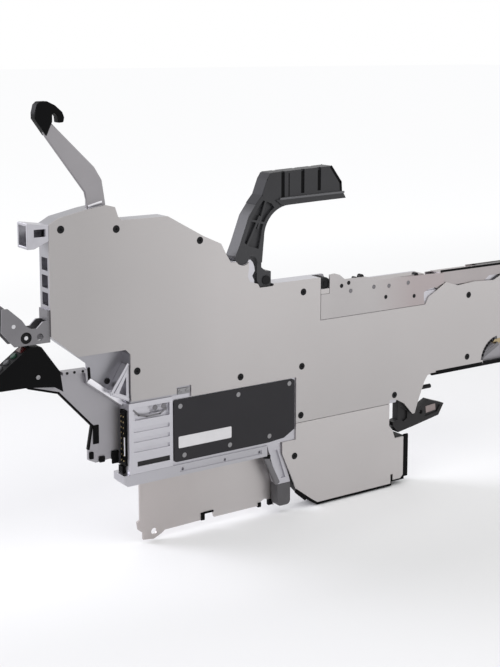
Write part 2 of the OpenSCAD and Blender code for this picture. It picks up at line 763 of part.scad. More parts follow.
module entry_bracket() {
    color("darkgray") difference() {
        union() {
            for (y = [-entry_y, entry_y - entry_cheek]) slab(y, y + entry_cheek) polygon([
                [rear_x, 173.9], [rear_x, 190], [33, 190], [28, 185.4], [24.5, 185.4], [20, 188],
                [16.5, 193],
                [6, 202.5], [1.5, 202.5], [0.5, 185.5], [10.4, 173.9]
            ]);
            box([rear_x - 2, -entry_y, 178], [rear_x, entry_y, 198]);
        }
        box([rear_x - 3, tape_y0 - 0.4, tape_z - 2], [rear_x + 1, entry_y - entry_cheek, tape_z + 6]);
        for (p = [entry_low, entry_high]) bar(p, entry_axle_r + seat_fit, near_y, far_y);
        // View of the lower roller
        bar(entry_low, entry_r - 0.2, near_y, -entry_y + entry_cheek + 0.1);
        bar([30.5, 179], 2.6, near_y, far_y);
    }
}

module entry_axles() {
    color("lightgray") for (p = [entry_low, entry_high]) bar(p, entry_axle_r, -entry_y, entry_y);
}

module entry_roller(p) {
    w = entry_y - entry_cheek - 0.3;
    difference() {
        union() {
            bar(p, entry_r, -w, w);
            for (y = [-w, w - 0.8]) bar(p, entry_r + 0.4, y, y + 0.8);
        }
        bar(p, entry_axle_r + run_fit, -w - 1, w + 1);
    }
}

module lower_entry_roller() {
    color("dimgray") entry_roller(entry_low);
}

module upper_entry_roller() {
    color("dimgray") entry_roller(entry_high);
}

// Cover tape chute and tape arm

module tape_chute() {
    z0 = shoulder_z - 15.6;
    color("gainsboro") difference() {
        slab(near_y, far_y) polygon([
            [21.5, z0], [27, z0], [rear_x, z0 + 5], [rear_x, z0 + 16.5], [21.5, z0 + 19]
        ]);
        slab(near_y + 2, far_y - 2) polygon([
            [20, z0 + 2], [27.5, z0 + 2], [rear_x + 0.5, z0 + 7], [rear_x + 0.5, z0 + 14.5], [20, z0 + 17]
        ]);
        box([27, near_y - 1, z0 + 8.5], [36, near_y + 3, z0 + 14]);
    }
}

function arm_outline() = [
    [34, 336.5], [41, 323.5], [71.5, 281.7], [72.7, 276], [72.7, shoulder_z + 0.5],
    [88.7, shoulder_z + 0.5], [88.7, roof_z], [86, 290], [80, 300], [46.6, 333]
];

module tape_arm() {
    color("silver") slab(-1.5, 1.5) polygon(arm_outline());
}

module tape_hook() {
    color([0.1, 0.1, 0.1]) difference() {
        slab(-4, 4) polygon([
            [32, 337], [32, 341.2], [33.5, 347], [36, 349.3], [42, 349.4], [48.2, 346.4], [53.9, 341.4],
            [55.3, 337.6], [54.6, 333.9], [50.4, 333.6],
            [49.9, 338.2], [47.8, 340.6], [45.9, 340.2], [45.8, 334.7], [41, 324.3]
        ]);
        slab(-1.53, 1.53) polygon(arm_outline());
    }
}

// Handle and clamp

module handle_rest() {
    color("gainsboro") difference() {
        slab(skin_y, far_y) polygon([
            [201.2, rest_z], [221.8, rest_z], [221.8, rest_z + 6], [219.2, rest_z + 11],
            [217.4, rest_z + 14.5], [219.9, rest_z + 18.4], [219.4, rest_z + 22],
            [218, rest_z + 25.5], [215.6, rest_z + 28],
            [194.6, rest_z + 28], [196.8, rest_z + 21.5]
        ]);
        bar(boss_pos, boss_r + 0.3, near_y, far_y + 1);
        box([219.3, near_y, rest_z - 1], [230, crank_y1 + 0.2, rest_z + 10.5]);
    }
}

function handle_outline() = concat(
    [[236, 287.5], [298, 289.9], [308.4, 276], [309, 267.6], [312, 262.2]],
    arc([254, 235.2], 25, 90, 180, 10),
    [[227, 215], [222.6, 215], [221, 219.5], [217, 221.6]],
    arc(boss_pos, boss_r, -5, -190, 12),
    [[205.8, 232.4], [214, 253.6], [220, 261.6], [227, 269.6], [232, 282]]
);

// Pocket in the arm's side, crossed by slanting ribs
module arm_pocket() {
    difference() {
        polygon(concat(
            [[209.8, 232.5], [217.2, 251.8], [222.8, 259.4], [228.4, 265.6], [236.5, 262.4]],
            arc([254, 235.2], 28, 122, 176, 6),
            [[223.6, 226.5], [214, 229.6]]
        ));
        for (r = [[218, 240, 62], [221, 249, -14], [228, 257, 70]])
            translate([r[0], r[1]]) rotate(r[2]) square([30, 1.8], center = true);
    }
}

module handle() {
    half = handle_w / 2;
    pocket_d = 2.6;
    color([0.22, 0.22, 0.23]) difference() {
        union() {
            slab(-half, half) polygon(handle_outline());
            slab(-half - 1.2, half + 1.2) polygon([[246, 260.4], [312, 262.2], [309.5, 266.5], [240, 265]]);
            slab(hub_y0, hub_y1) polygon([
                [227, 216], [222.6, 216], [222.6, 200], [226.5, 194], [236.5, 194], [236.5, 206.9],
                [231, 207.5], [227, 211]
            ]);
        }
        // Finger grooves on both sides of the grip
        for (g = [[246, 266.5], [266, 269], [283, 270]]) for (y = [-half - 1, half - 1.8])
            box([g[0], y, g[1]], [g[0] + 3.4, y + 2.8, 292]);
        // Ribbed pockets on both sides of the arm
        for (y = [-half - 1, half - pocket_d]) slab(y, y + pocket_d + 1) arm_pocket();
        // Slot and bore for the crank
        box([220, crank_y0 - 0.02, 190], [243, crank_y1 + 0.02, 207]);
        bar(handle_pos, handle_pin_r + run_fit, -10, 10);
    }
}

module handle_pin() {
    color("lightgray") {
        bar(handle_pos, handle_pin_r, hub_y0 - 0.7, far_y);
        bar(handle_pos, handle_pin_r + 1.2, hub_y0 - 0.9, hub_y0 - 0.3);
    }
}

// Flat lever between two X-Z points with round ends
module lever(p, q, rp, rq) {
    d = q - p;
    a = atan2(d[1], d[0]);
    r = min(rp, rq);
    translate(p) circle(r = rp);
    translate(q) circle(r = rq);
    translate(p) rotate(a) translate([0, -r]) square([norm(d), 2 * r]);
}

module clamp_crank() {
    color("lightgray") {
        difference() {
            slab(crank_y0, crank_y1) lever(handle_pos, crank_end, 5, 4);
            bar(handle_pos, handle_pin_r + run_fit, -10, 10);
        }
        bar(crank_end, rivet_r, link_y0, crank_y0);
    }
}

// Slot across the link for a rivet
module link_slot(p) {
    sway = max(crank, latch_arm) * (1 - cos(handle_tilt)) + 0.2;
    translate([p[0], 0, p[1]]) rotate([0, -link_a, 0])
        box([-rivet_r - pass, near_y, -rivet_r - sway], [rivet_r + pass, web_y, rivet_r + sway]);
}

module clamp_link() {
    color("lightgray") difference() {
        slab(link_y0, link_y1) {
            lever(crank_end, arm_end, link_w / 2, link_w / 2);
            translate(crank_end) circle(r = 4.5);
            translate(arm_end) circle(r = 4.5);
        }
        link_slot(crank_end);
        link_slot(arm_end);
    }
}

module clamp_latch() {
    color([0.25, 0.25, 0.26]) difference() {
        union() {
            slab(crank_y0, crank_y1) lever(latch_pos, arm_end, 6, 4);
            bar(arm_end, rivet_r, link_y0, crank_y0);
            bar(latch_pos, 6.5, crank_y0, latch_y1);
            slab(crank_y0, latch_y1) polygon([
                [378, 82], [390, 82], [391, 70], [396.4, 62.5], [413.3, 70.3], [431.8, 64],
                [425.5, 53.8], [396.4, 48.6],
                [377, 45.6], [371, 52.4], [371, 56], [376.4, 57.4], [376.4, 73]
            ]);
        }
        bar(latch_pos, latch_pin_r + run_fit, -10, 10);
        bar([404, 60], 2, -10, 10);
        // Recesses in the jaw and in the arm
        slab(-10, crank_y0 + 1.6)
            polygon([[379.6, 69], [379.6, 58], [383, 54.5], [387.5, 57], [387.5, 64]]);
        slab(-10, crank_y0 + 1.2) polygon([[408, 64], [413, 67.6], [427.4, 63], [423.6, 57], [409, 55]]);
    }
}

module latch_pin() {
    color("lightgray") bar(latch_pos, latch_pin_r, crank_y0 - 0.3, far_y);
}

module stop_pin() {
    color("black") translate([0, stop_y, 0]) bar_x(stop_z, stop_r, stop_root, 424);
}

// Nose, tape guide and locating pins

module nose_rail() {
    color([0.1, 0.1, 0.1]) box([nose_back + 10, -6, nose_floor_z - 2], [nose_x - 5, 7, nose_floor_z]);
}

// Locating pin with a thinner root in the frame and a coned tip
module locating_pin(z, r, root_r, root) {
    bar_x(z, root_r, nose_x - root, nose_x);
    bar_x(z, r, nose_x, nose_x + front_pin_len - 2);
    translate([nose_x + front_pin_len - 2, 0, z]) rotate([0, 90, 0]) cylinder(r1 = r, r2 = r - 1.2, h = 2);
}

module front_locating_pin() {
    color("lightgray") locating_pin(front_pin_z, front_pin_r, front_pin_r - 0.6, 8);
}

module upper_locating_pin() {
    color("lightgray") locating_pin(front_pin_z + pin_spacing, upper_pin_r, upper_pin_r - 0.4, 7);
}

module tape_bed() {
    color("gainsboro") difference() {
        box([nose_back, -bed_y, nose_roof_z], [nose_x, bed_y, tape_z]);
        bar(sprocket_pos, sprocket_r + sprocket_tip + 0.6, sprocket_y0 - pass, sprocket_y1 + pass);
        bar(sprocket_pos, wheel_pitch_r + addendum + 0.6, -bed_y - 1, sprocket_y0 - pass + 0.01);
        bar(cover_pivot, hinge_r + seat_fit, -10, 10);
    }
}

module tape_cover() {
    top = tape_z + 1.2;
    color("lightgray") difference() {
        union() {
            box([cover_pivot[0] + 3, -cover_y, top], [nose_x - 1, cover_y, top + cover_t]);
            for (y = [-cover_y, cover_y - 1]) slab(y, y + 1) {
                translate(cover_pivot) circle(r = 5.2);
                polygon([
                    [cover_rear, cover_pivot[1]], [cover_rear + 8, nose_roof_z + 2],
                    [cover_rear + 62, nose_roof_z + 2], [cover_rear + 68, nose_roof_z + 6],
                    [nose_x - 6, nose_roof_z + 6], [nose_x - 1, top], [nose_x - 1, top + 1],
                    [cover_rear, top + 1]
                ]);
            }
            for (y = [-2.4, 5.9]) translate([0, y, top + cover_t])
                box([cover_rear + 50, 0, -0.1], [nose_x - 4, 0.8, 1.2]);
        }
        bar(cover_pivot, hinge_r + run_fit, -10, 10);
        // Room for the sprocket's teeth and the pick-up window
        translate([sprocket_pos[0], 0, top])
            box([-9, sprocket_y0 - pass, -1], [9, sprocket_y1 + pass, 5]);
        box([window_x, 0.4, top - 1], [window_x + 8, 4.6, top + 5]);
    }
}

module cover_hinge_pin() {
    color("lightgray") bar(cover_pivot, hinge_r, -cover_y, cover_y);
}

module pickup_shutter() {
    z = tape_z + 1.2 + cover_t + 0.1;
    color([0.12, 0.12, 0.12]) difference() {
        box([window_x - 44, -0.2, z], [window_x + 11, 5.6, z + 0.7]);
        box([window_x - 12, 0.8, z - 1], [window_x - 4, 4.2, z + 2]);
    }
}

module rear_tape_cover() {
    color("lightgray") {
        box([step_x + 20, skin_y + 0.2, tape_z + 3], [nose_back - 1, web_y - 0.2, tape_z + 4]);
        box([step_x + 20, skin_y + 0.2, tape_z], [nose_back - 1, skin_y + 1.2, tape_z + 3]);
    }
}

// Feed drive

module tape_sprocket() {
    color("goldenrod") difference() {
        slab(sprocket_y0, sprocket_y1) translate(sprocket_pos) {
            circle(r = sprocket_r);
            for (k = [0:sprocket_teeth - 1]) rotate(90 + k * 360 / sprocket_teeth) polygon([
                [sprocket_r - 0.6, -0.75], [sprocket_r + 0.5, -0.7], [sprocket_r + sprocket_tip, -0.3],
                [sprocket_r + sprocket_tip, 0.3], [sprocket_r + 0.5, 0.7], [sprocket_r - 0.6, 0.75]
            ]);
        }
        bar(sprocket_pos, axle_r + run_fit, near_y, far_y);
        for (k = [0:4]) bar(sprocket_pos + polar(11.5, 36 + k * 72), 3.4, near_y, far_y);
    }
}

// Spur gear with a bore on its axle
module spur_gear(p, teeth, phase, y0, y1, bore_r) {
    difference() {
        slab(y0, y1) translate(p) gear_outline(teeth, phase);
        bar(p, bore_r, y0 - 1, y1 + 1);
    }
}

module sprocket_gear() {
    color("khaki") {
        spur_gear(sprocket_pos, wheel_teeth, 0, gear_y0, gear_y1, axle_r + run_fit);
        difference() {
            bar(sprocket_pos, hub_r, gear_y1, sprocket_y0);
            bar(sprocket_pos, axle_r + run_fit, near_y, far_y);
        }
    }
}

module idler_gear() {
    color("khaki") difference() {
        spur_gear(idler_pos, idler_teeth, idler_phase, gear_y0, gear_y1, axle_r + run_fit);
        for (k = [0:3]) bar(idler_pos + polar(8.4, 45 + k * 90), 2.6, near_y, far_y);
    }
}

module drive_axles() {
    color("lightgray") for (p = [sprocket_pos, idler_pos]) {
        bar(p, axle_r, gear_y0 - 0.8, far_y);
        bar(p, axle_r + 1.2, gear_y0 - 0.9, gear_y0 - 0.3);
    }
}

module feed_motor() {
    color([0.25, 0.25, 0.27]) difference() {
        union() {
            bar(motor_pos, motor_r, motor_y0 + 1, web_y);
            bar(motor_pos, motor_r - 2, motor_y0 + 0.2, motor_y0 + 1);
        }
        bar(motor_pos, motor_shaft_r + run_fit, near_y, web_y - 1);
    }
}

module motor_pinion() {
    color("goldenrod") {
        slab(gear_y0, gear_y1) translate(motor_pos) gear_outline(pinion_teeth, pinion_phase);
        bar(motor_pos, motor_shaft_r, gear_y1, web_y - 1.5);
        bar(motor_pos, 2.4, gear_y0 - 0.6, gear_y0);
    }
}

// Cover tape take-up

module takeup_roller() {
    color("khaki") {
        slab(skin_y + 0.6, takeup_y1) translate(takeup_pos) gear_outline(takeup_teeth, 0);
        bar(takeup_pos, motor_shaft_r, takeup_y1, web_y - 1.5);
    }
}

module pinch_roller() {
    color("khaki")
        spur_gear(pinch_pos, takeup_teeth, pinch_phase, skin_y + 0.6, takeup_y1, takeup_axle_r + run_fit);
}

module takeup_motor() {
    color([0.25, 0.25, 0.27]) difference() {
        bar(takeup_pos, takeup_motor_r, takeup_motor_y0, web_y);
        bar(takeup_pos, motor_shaft_r + run_fit, near_y, web_y - 1);
    }
}

module takeup_axles() {
    color("lightgray") {
        bar(pinch_pos, takeup_axle_r, skin_y + 0.3, far_y);
        bar(peel_pos, takeup_axle_r, skin_y + 0.3, far_y);
    }
}

module peel_roller() {
    color([0.1, 0.1, 0.1]) difference() {
        bar(peel_pos, peel_r, skin_y + 0.7, web_y - 0.3);
        bar(peel_pos, takeup_axle_r + run_fit, near_y, far_y);
    }
}

placed() main_frame();
placed() upper_side_plate();
placed() lower_side_plate();
placed() peel_cheek();
placed() side_plate_screws();
placed() cheek_screws();
placed() module_body();
placed() driver_board();
placed() control_case();
placed() control_cover();
placed() cover_screws();
placed() control_board();
placed() connector_housing();
placed() rear_connector();
placed() base_rail();
placed() lower_guide_plate();
placed() support_strut();
placed() strut_foot();
placed() rear_arm();
placed() gusset();
placed() panel_housing();
placed() panel_lens();
placed() feed_button();
placed() back_button();
placed() mode_button();
placed() entry_bracket();
placed() entry_axles();
placed() lower_entry_roller();
placed() upper_entry_roller();
placed() tape_chute();
placed() tape_arm();
placed() tape_hook();
placed() handle_rest();
placed() handle();
placed() handle_pin();
placed() clamp_crank();
placed() clamp_link();
placed() clamp_latch();
placed() latch_pin();
placed() stop_pin();
placed() nose_rail();
placed() front_locating_pin();
placed() upper_locating_pin();
placed() tape_bed();
placed() tape_cover();
placed() cover_hinge_pin();
placed() pickup_shutter();
placed() rear_tape_cover();
placed() tape_sprocket();
placed() sprocket_gear();
placed() idler_gear();
placed() drive_axles();
placed() feed_motor();
placed() motor_pinion();
placed() takeup_roller();
placed() pinch_roller();
placed() takeup_motor();
placed() takeup_axles();
placed() peel_roller();
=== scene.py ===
"""Looks of a slim electric tape feeder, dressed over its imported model.

The model's frame is in metres: X along the feed, Y across the slot, Z up, with the origin at the root of the
front locating pin. The dress classes give places and sizes in millimetres of the drawing; a value
written with MM is in metres.
"""

import json
import logging
import math
from dataclasses import dataclass, replace
from enum import Enum
from typing import Sequence

import bmesh
import bpy
from mathutils import Matrix, Vector

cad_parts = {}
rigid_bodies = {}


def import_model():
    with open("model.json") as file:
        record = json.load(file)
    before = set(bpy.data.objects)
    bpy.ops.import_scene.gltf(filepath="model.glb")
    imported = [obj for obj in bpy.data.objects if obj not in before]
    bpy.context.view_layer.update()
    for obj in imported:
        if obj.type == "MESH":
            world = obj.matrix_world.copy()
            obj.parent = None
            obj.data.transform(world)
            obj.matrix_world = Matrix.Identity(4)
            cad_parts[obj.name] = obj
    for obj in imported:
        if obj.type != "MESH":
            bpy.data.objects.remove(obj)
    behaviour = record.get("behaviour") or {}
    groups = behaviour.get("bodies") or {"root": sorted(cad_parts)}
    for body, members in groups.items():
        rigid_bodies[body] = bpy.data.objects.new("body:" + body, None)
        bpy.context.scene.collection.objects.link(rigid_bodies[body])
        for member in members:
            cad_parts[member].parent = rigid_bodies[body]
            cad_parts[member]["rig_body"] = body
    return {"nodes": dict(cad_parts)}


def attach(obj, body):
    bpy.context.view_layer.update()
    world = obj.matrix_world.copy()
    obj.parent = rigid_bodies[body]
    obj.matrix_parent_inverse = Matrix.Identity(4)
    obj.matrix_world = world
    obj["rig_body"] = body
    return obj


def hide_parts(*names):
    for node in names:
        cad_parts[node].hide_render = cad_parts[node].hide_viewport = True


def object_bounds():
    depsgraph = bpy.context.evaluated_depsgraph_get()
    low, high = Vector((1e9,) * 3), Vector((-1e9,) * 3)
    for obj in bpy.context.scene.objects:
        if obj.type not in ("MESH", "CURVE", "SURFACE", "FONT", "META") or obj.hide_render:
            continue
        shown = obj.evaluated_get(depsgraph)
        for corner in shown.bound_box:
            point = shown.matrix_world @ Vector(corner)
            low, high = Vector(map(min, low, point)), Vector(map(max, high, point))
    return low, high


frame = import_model()
CAD_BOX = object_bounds()

Colour = tuple[float, float, float]
Place = tuple[float, float, float]
Point = tuple[float, float]
Span = tuple[Point, Point]
Sides = tuple[float, float]

MM = 0.001
ROOT = "feeder"
# Drawing millimetres of the model's origin
DATUM = Vector((545, 0, 108))
# Attribute that marks the crests of broken edges
EDGE = "edge"
# Size of a scuff on a worn edge, the noise between which it fades in, and how far wear lowers both
SCUFF_PATCH = 4 * MM
SCUFF_FADE = (0.62, 0.8)
SCUFF_GAIN = 0.3
# Flatter edges are shaded smooth, in degrees
SMOOTH_ANGLE = 36
# Segments of a block's broken edge, of a label's round corner and of a round bar
EDGE_SEGMENTS = 2
CORNER_SEGMENTS = 4
BAR_SIDES = 28
# Radius of a strip's edges as a share of its width
STRIP_ROUND = 0.25
# A screw head's height, rim and round as shares of its radius
HEAD_HEIGHT = 0.35
HEAD_RIM = 0.5
HEAD_ROUND = 0.12
# Depth of its socket as a share of its height
SOCKET_DEPTH = 0.7
# Octaves of the noise in drifting patches, in the grain and in scuffs
DRIFT_DETAIL = 2.0
GRAIN_DETAIL = 3.0
SCUFF_DETAIL = 4.0

MADE: dict[str, bpy.types.Material] = {}
log = logging.getLogger("feeder")


class Grain(Enum):
    """Direction and fineness of a surface's grain, as the size of one grain cell along X, Y and Z."""

    BRUSHED = (22 * MM, 0.25 * MM, 0.25 * MM)
    BLASTED = (0.35 * MM, 0.35 * MM, 0.35 * MM)
    MOULDED = (0.6 * MM, 0.6 * MM, 0.6 * MM)
    TURNED = (0.5 * MM, 0.12 * MM, 0.5 * MM)
    SMOOTH = (3 * MM, 3 * MM, 3 * MM)


class Side(Enum):
    """Way along Y that a screw head looks."""

    NEAR = -1
    FAR = 1


# A drift is painted shade on the upper plate and the frame and painted light on the handle;
# on the cheek and the guide plate it is a darker, warmer tint.
@dataclass(frozen=True)
class Shade:
    """Drift of a colour along one axis of the part.

    Attributes:
        axis: The axis, as a letter.
        start: Place where the drift begins.
        end: Place where it is complete.
        share: Share of the tint there.
        tint: The colour that it drifts to.
    """

    axis: str
    start: float
    end: float
    share: float
    tint: Colour = (0.0, 0.0, 0.0)


@dataclass(frozen=True)
class Finish:
    """One surface finish, built as a procedural material on object coordinates.

    Attributes:
        name: Name of the material.
        colour: Base colour in linear light.
        metallic: 1 for bare metal, 0 for paint and plastic.
        roughness: Mean roughness.
        grain: Shape of the fine grain.
        spread: How far the grain moves the roughness up and down.
        relief: Height of the grain's bump.
        mottle: Share by which the colour drifts over the part.
        patch: Size of the drifting patches.
        wear: Colour that shows on worn edges.
        worn: How much of an edge is worn, 0 for none.
        coat: Weight of a clear coat.
        sheen: Strength of the mirror-like reflection of paint and plastic.
        shade: Drift of the colour along the part, if any, used for painted shade and painted light.
    """

    name: str
    colour: Colour
    metallic: float = 0.0
    roughness: float = 0.5
    grain: Grain = Grain.BLASTED
    spread: float = 0.06
    relief: float = 0.01 * MM
    mottle: float = 0.05
    patch: float = 60 * MM
    wear: Colour = (0.6, 0.6, 0.6)
    worn: float = 0.0
    coat: float = 0.0
    sheen: float = 0.5
    shade: Shade | None = None

    def material(self) -> bpy.types.Material:
        """Returns the finish's material, made once."""
        if self.name not in MADE:
            MADE[self.name] = self._build()
        return MADE[self.name]

    def _build(self) -> bpy.types.Material:
        """Builds the node tree.

        Returns:
            The new material.
        """
        material = bpy.data.materials.new(self.name)
        material.use_nodes = True
        tree = material.node_tree
        shader = tree.nodes["Principled BSDF"]
        shader.inputs["Metallic"].default_value = self.metallic
        shader.inputs["Coat Weight"].default_value = self.coat
        shader.inputs["Specular IOR Level"].default_value = self.sheen
        coords = tree.nodes.new("ShaderNodeTexCoord").outputs["Object"]
        drift = self._noise(tree, coords, (self.patch,) * 3, DRIFT_DETAIL)
        dark = tuple(c * (1 - self.mottle) for c in self.colour)
        light = tuple(min(1.0, c * (1 + self.mottle)) for c in self.colour)
        colour = self._mix(tree, drift, dark, light)
        if self.worn:
            colour = self._worn_edges(tree, coords, colour)
        if self.shade:
            colour = self._shaded(tree, coords, colour, self.shade)
        tree.links.new(colour, shader.inputs["Base Color"])
        grain = self._noise(tree, coords, self.grain.value, GRAIN_DETAIL)
        spread = tree.nodes.new("ShaderNodeMapRange")
        spread.inputs["To Min"].default_value = self.roughness - self.spread
        spread.inputs["To Max"].default_value = self.roughness + self.spread
        tree.links.new(grain, spread.inputs["Value"])
        tree.links.new(spread.outputs["Result"], shader.inputs["Roughness"])
        bump = tree.nodes.new("ShaderNodeBump")
        bump.inputs["Distance"].default_value = self.relief
        tree.links.new(grain, bump.inputs["Height"])
        tree.links.new(bump.outputs["Normal"], shader.inputs["Normal"])
        return material

    @staticmethod
    def _noise(
        tree: bpy.types.NodeTree, coords: bpy.types.NodeSocket, cell: Sequence[float], detail: float
    ) -> bpy.types.NodeSocket:
        """Adds a noise whose cells have the given size.

        Args:
            tree: The material's node tree.
            coords: Object coordinates.
            cell: Size of a cell along X, Y and Z.
            detail: Octaves of the noise.

        Returns:
            The noise's value.
        """
        mapping = tree.nodes.new("ShaderNodeMapping")
        mapping.inputs["Scale"].default_value = [1 / c for c in cell]
        tree.links.new(coords, mapping.inputs["Vector"])
        noise = tree.nodes.new("ShaderNodeTexNoise")
        noise.inputs["Scale"].default_value = 1.0
        noise.inputs["Detail"].default_value = detail
        tree.links.new(mapping.outputs["Vector"], noise.inputs["Vector"])
        return noise.outputs["Fac"]

    @staticmethod
    def _mix(
        tree: bpy.types.NodeTree, factor: bpy.types.NodeSocket, low: Colour, high: Colour
    ) -> bpy.types.NodeSocket:
        """Adds a mix of two colours.

        Args:
            tree: The material's node tree.
            factor: 0 for low, 1 for high.
            low: First colour.
            high: Second colour.

        Returns:
            The mixed colour.
        """
        mix = tree.nodes.new("ShaderNodeMix")
        mix.data_type = "RGBA"
        mix.inputs["A"].default_value = (*low, 1)
        mix.inputs["B"].default_value = (*high, 1)
        tree.links.new(factor, mix.inputs["Factor"])
        return mix.outputs["Result"]

    @staticmethod
    def _tinted(
        tree: bpy.types.NodeTree, factor: bpy.types.NodeSocket, colour: bpy.types.NodeSocket, tint: Colour
    ) -> bpy.types.NodeSocket:
        """Mixes a plain tint into a colour.

        Args:
            tree: The material's node tree.
            factor: 0 for the colour, 1 for the tint.
            colour: The colour.
            tint: The tint.

        Returns:
            The tinted colour.
        """
        mix = tree.nodes.new("ShaderNodeMix")
        mix.data_type = "RGBA"
        mix.inputs["B"].default_value = (*tint, 1)
        tree.links.new(factor, mix.inputs["Factor"])
        tree.links.new(colour, mix.inputs["A"])
        return mix.outputs["Result"]

    def _worn_edges(
        self, tree: bpy.types.NodeTree, coords: bpy.types.NodeSocket, colour: bpy.types.NodeSocket
    ) -> bpy.types.NodeSocket:
        """Lets bare material show in patches on rounded edges, which carry the edge attribute.

        Args:
            tree: The material's node tree.
            coords: Object coordinates.
            colour: Colour of the unworn surface.

        Returns:
            The colour with wear.
        """
        edge = tree.nodes.new("ShaderNodeAttribute")
        edge.attribute_name = EDGE
        scuff = self._noise(tree, coords, (SCUFF_PATCH,) * 3, SCUFF_DETAIL)
        share = tree.nodes.new("ShaderNodeMapRange")
        share.inputs["From Min"].default_value = SCUFF_FADE[0] - SCUFF_GAIN * self.worn
        share.inputs["From Max"].default_value = SCUFF_FADE[1] - SCUFF_GAIN * self.worn
        tree.links.new(scuff, share.inputs["Value"])
        both = tree.nodes.new("ShaderNodeMath")
        both.operation = "MULTIPLY"
        tree.links.new(edge.outputs["Fac"], both.inputs[0])
        tree.links.new(share.outputs["Result"], both.inputs[1])
        return self._tinted(tree, both.outputs["Value"], colour, self.wear)

    def _shaded(
        self, tree: bpy.types.NodeTree, coords: bpy.types.NodeSocket, colour: bpy.types.NodeSocket,
        shade: Shade,
    ) -> bpy.types.NodeSocket:
        """Lets the colour drift along the part; some finishes use it for painted shade and painted light.

        Args:
            tree: The material's node tree.
            coords: Object coordinates.
            colour: Colour before the drift.
            shade: The drift.

        Returns:
            The shaded colour.
        """
        split = tree.nodes.new("ShaderNodeSeparateXYZ")
        tree.links.new(coords, split.inputs["Vector"])
        share = tree.nodes.new("ShaderNodeMapRange")
        share.inputs["From Min"].default_value = shade.start
        share.inputs["From Max"].default_value = shade.end
        share.inputs["To Max"].default_value = shade.share
        tree.links.new(split.outputs[shade.axis], share.inputs["Value"])
        return self._tinted(tree, share.outputs["Result"], colour, shade.tint)


# Upper side plate: darker towards the rear end, painted shade for the light falling off there.
SHADED_PLATE = Finish(
    "satin_plate_painted_shade", (0.487, 0.467, 0.464), 1.0, 0.42, Grain.BRUSHED, 0.07, 0.006 * MM, 0.05, 120 * MM,
    shade=Shade("X", -0.36, -0.48, 0.2),
)
CHEEK_PLATE = replace(
    SHADED_PLATE, name="warm_plate", colour=(0.45, 0.431, 0.43), mottle=0.06, patch=30 * MM,
    shade=Shade("X", -0.2, -0.155, 1.0, (0.4, 0.355, 0.357)),
)
# Lower side plate: the upper plate's sheet in a lighter colour, painted light against the shaded floor it
# reflects.
LOWER_PLATE_PAINTED_LIGHT = replace(
    SHADED_PLATE, name="matt_plate_painted_light", colour=(0.55, 0.527, 0.524), roughness=0.45, patch=90 * MM, shade=None
)
# Lower guide plate: the lower plate's lighter colour, painted light, drifting darker and warmer to the rear.
GUIDE_PLATE = replace(
    LOWER_PLATE_PAINTED_LIGHT, name="toned_plate", colour=(0.55, 0.524, 0.52), patch=60 * MM,
    shade=Shade("X", -0.34, -0.45, 0.2, (0.2, 0.12, 0.09)),
)
ARM_PLATE = replace(
    LOWER_PLATE_PAINTED_LIGHT, name="grey_plate", colour=(0.345, 0.336, 0.354), roughness=0.44, mottle=0.06, patch=50 * MM
)
TAPE_ARM = replace(
    ARM_PLATE, name="dull_bar", colour=(0.305, 0.294, 0.306), roughness=0.42, mottle=0.08, patch=30 * MM
)
DARK_PLATE = replace(
    ARM_PLATE, name="dull_plate", colour=(0.2, 0.195, 0.205), roughness=0.46, mottle=0.1, patch=14 * MM
)
ALUMINIUM = Finish(
    "clear_anodised", (0.535, 0.528, 0.563), 1.0, 0.38, Grain.BLASTED, 0.06, 0.006 * MM, 0.05, 40 * MM
)
# Main frame: darker towards its rear wall, painted shade.
SHADED_FRAME_METAL = replace(ALUMINIUM, name="milled_frame_painted_shade", shade=Shade("X", -0.34, -0.44, 0.36))
HOUSING_METAL = replace(ALUMINIUM, name="cast_housing", colour=(0.56, 0.553, 0.588))
RAIL_METAL = replace(ALUMINIUM, name="drawn_rail", colour=(0.475, 0.469, 0.498), grain=Grain.BRUSHED)
# Tape chute: darker than the frame's aluminium, painted shade that carries on the frame's rear darkening.
CHUTE_METAL = replace(
    ALUMINIUM, name="cast_chute_painted_shade", colour=(0.46, 0.454, 0.485), mottle=0.12, patch=9 * MM
)
BRIGHT_STEEL = Finish(
    "ground_steel", (0.55, 0.55, 0.565), 1.0, 0.28, Grain.TURNED, 0.08, 0.004 * MM, 0.04, 12 * MM
)
GUIDE_STEEL = Finish(
    "rolled_steel", (0.37, 0.342, 0.342), 1.0, 0.36, Grain.BRUSHED, 0.07, 0.005 * MM, 0.08, 30 * MM
)
COVER_PAINT = Finish(
    "black_paint", (0.026, 0.025, 0.028), 0.0, 0.5, Grain.MOULDED, 0.05, 0.02 * MM, 0.08, 30 * MM,
    (0.2, 0.2, 0.2), 0.3, sheen=0.15,
)
# Handle: lighter towards the bottom, painted light against the shade in the recesses of its arm.
HANDLE_MOULD = Finish(
    "grained_grip_painted_light", (0.02, 0.02, 0.0225), 0.0, 0.44, Grain.MOULDED, 0.06, 0.03 * MM, 0.12, 14 * MM,
    (0.08, 0.08, 0.09), 0.45, sheen=0.35, shade=Shade("Z", 0.158, 0.138, 0.3, (0.055, 0.055, 0.059)),
)
# Grip back: dull and dark, painted shade where the back of the grip shows no highlight.
GRIP_BACK_SHADE = Finish(
    "dull_grip_painted_shade", (0.038, 0.038, 0.041), 0.0, 0.55, Grain.MOULDED, 0.05, 0.03 * MM, 0.1, 10 * MM, sheen=0.1
)
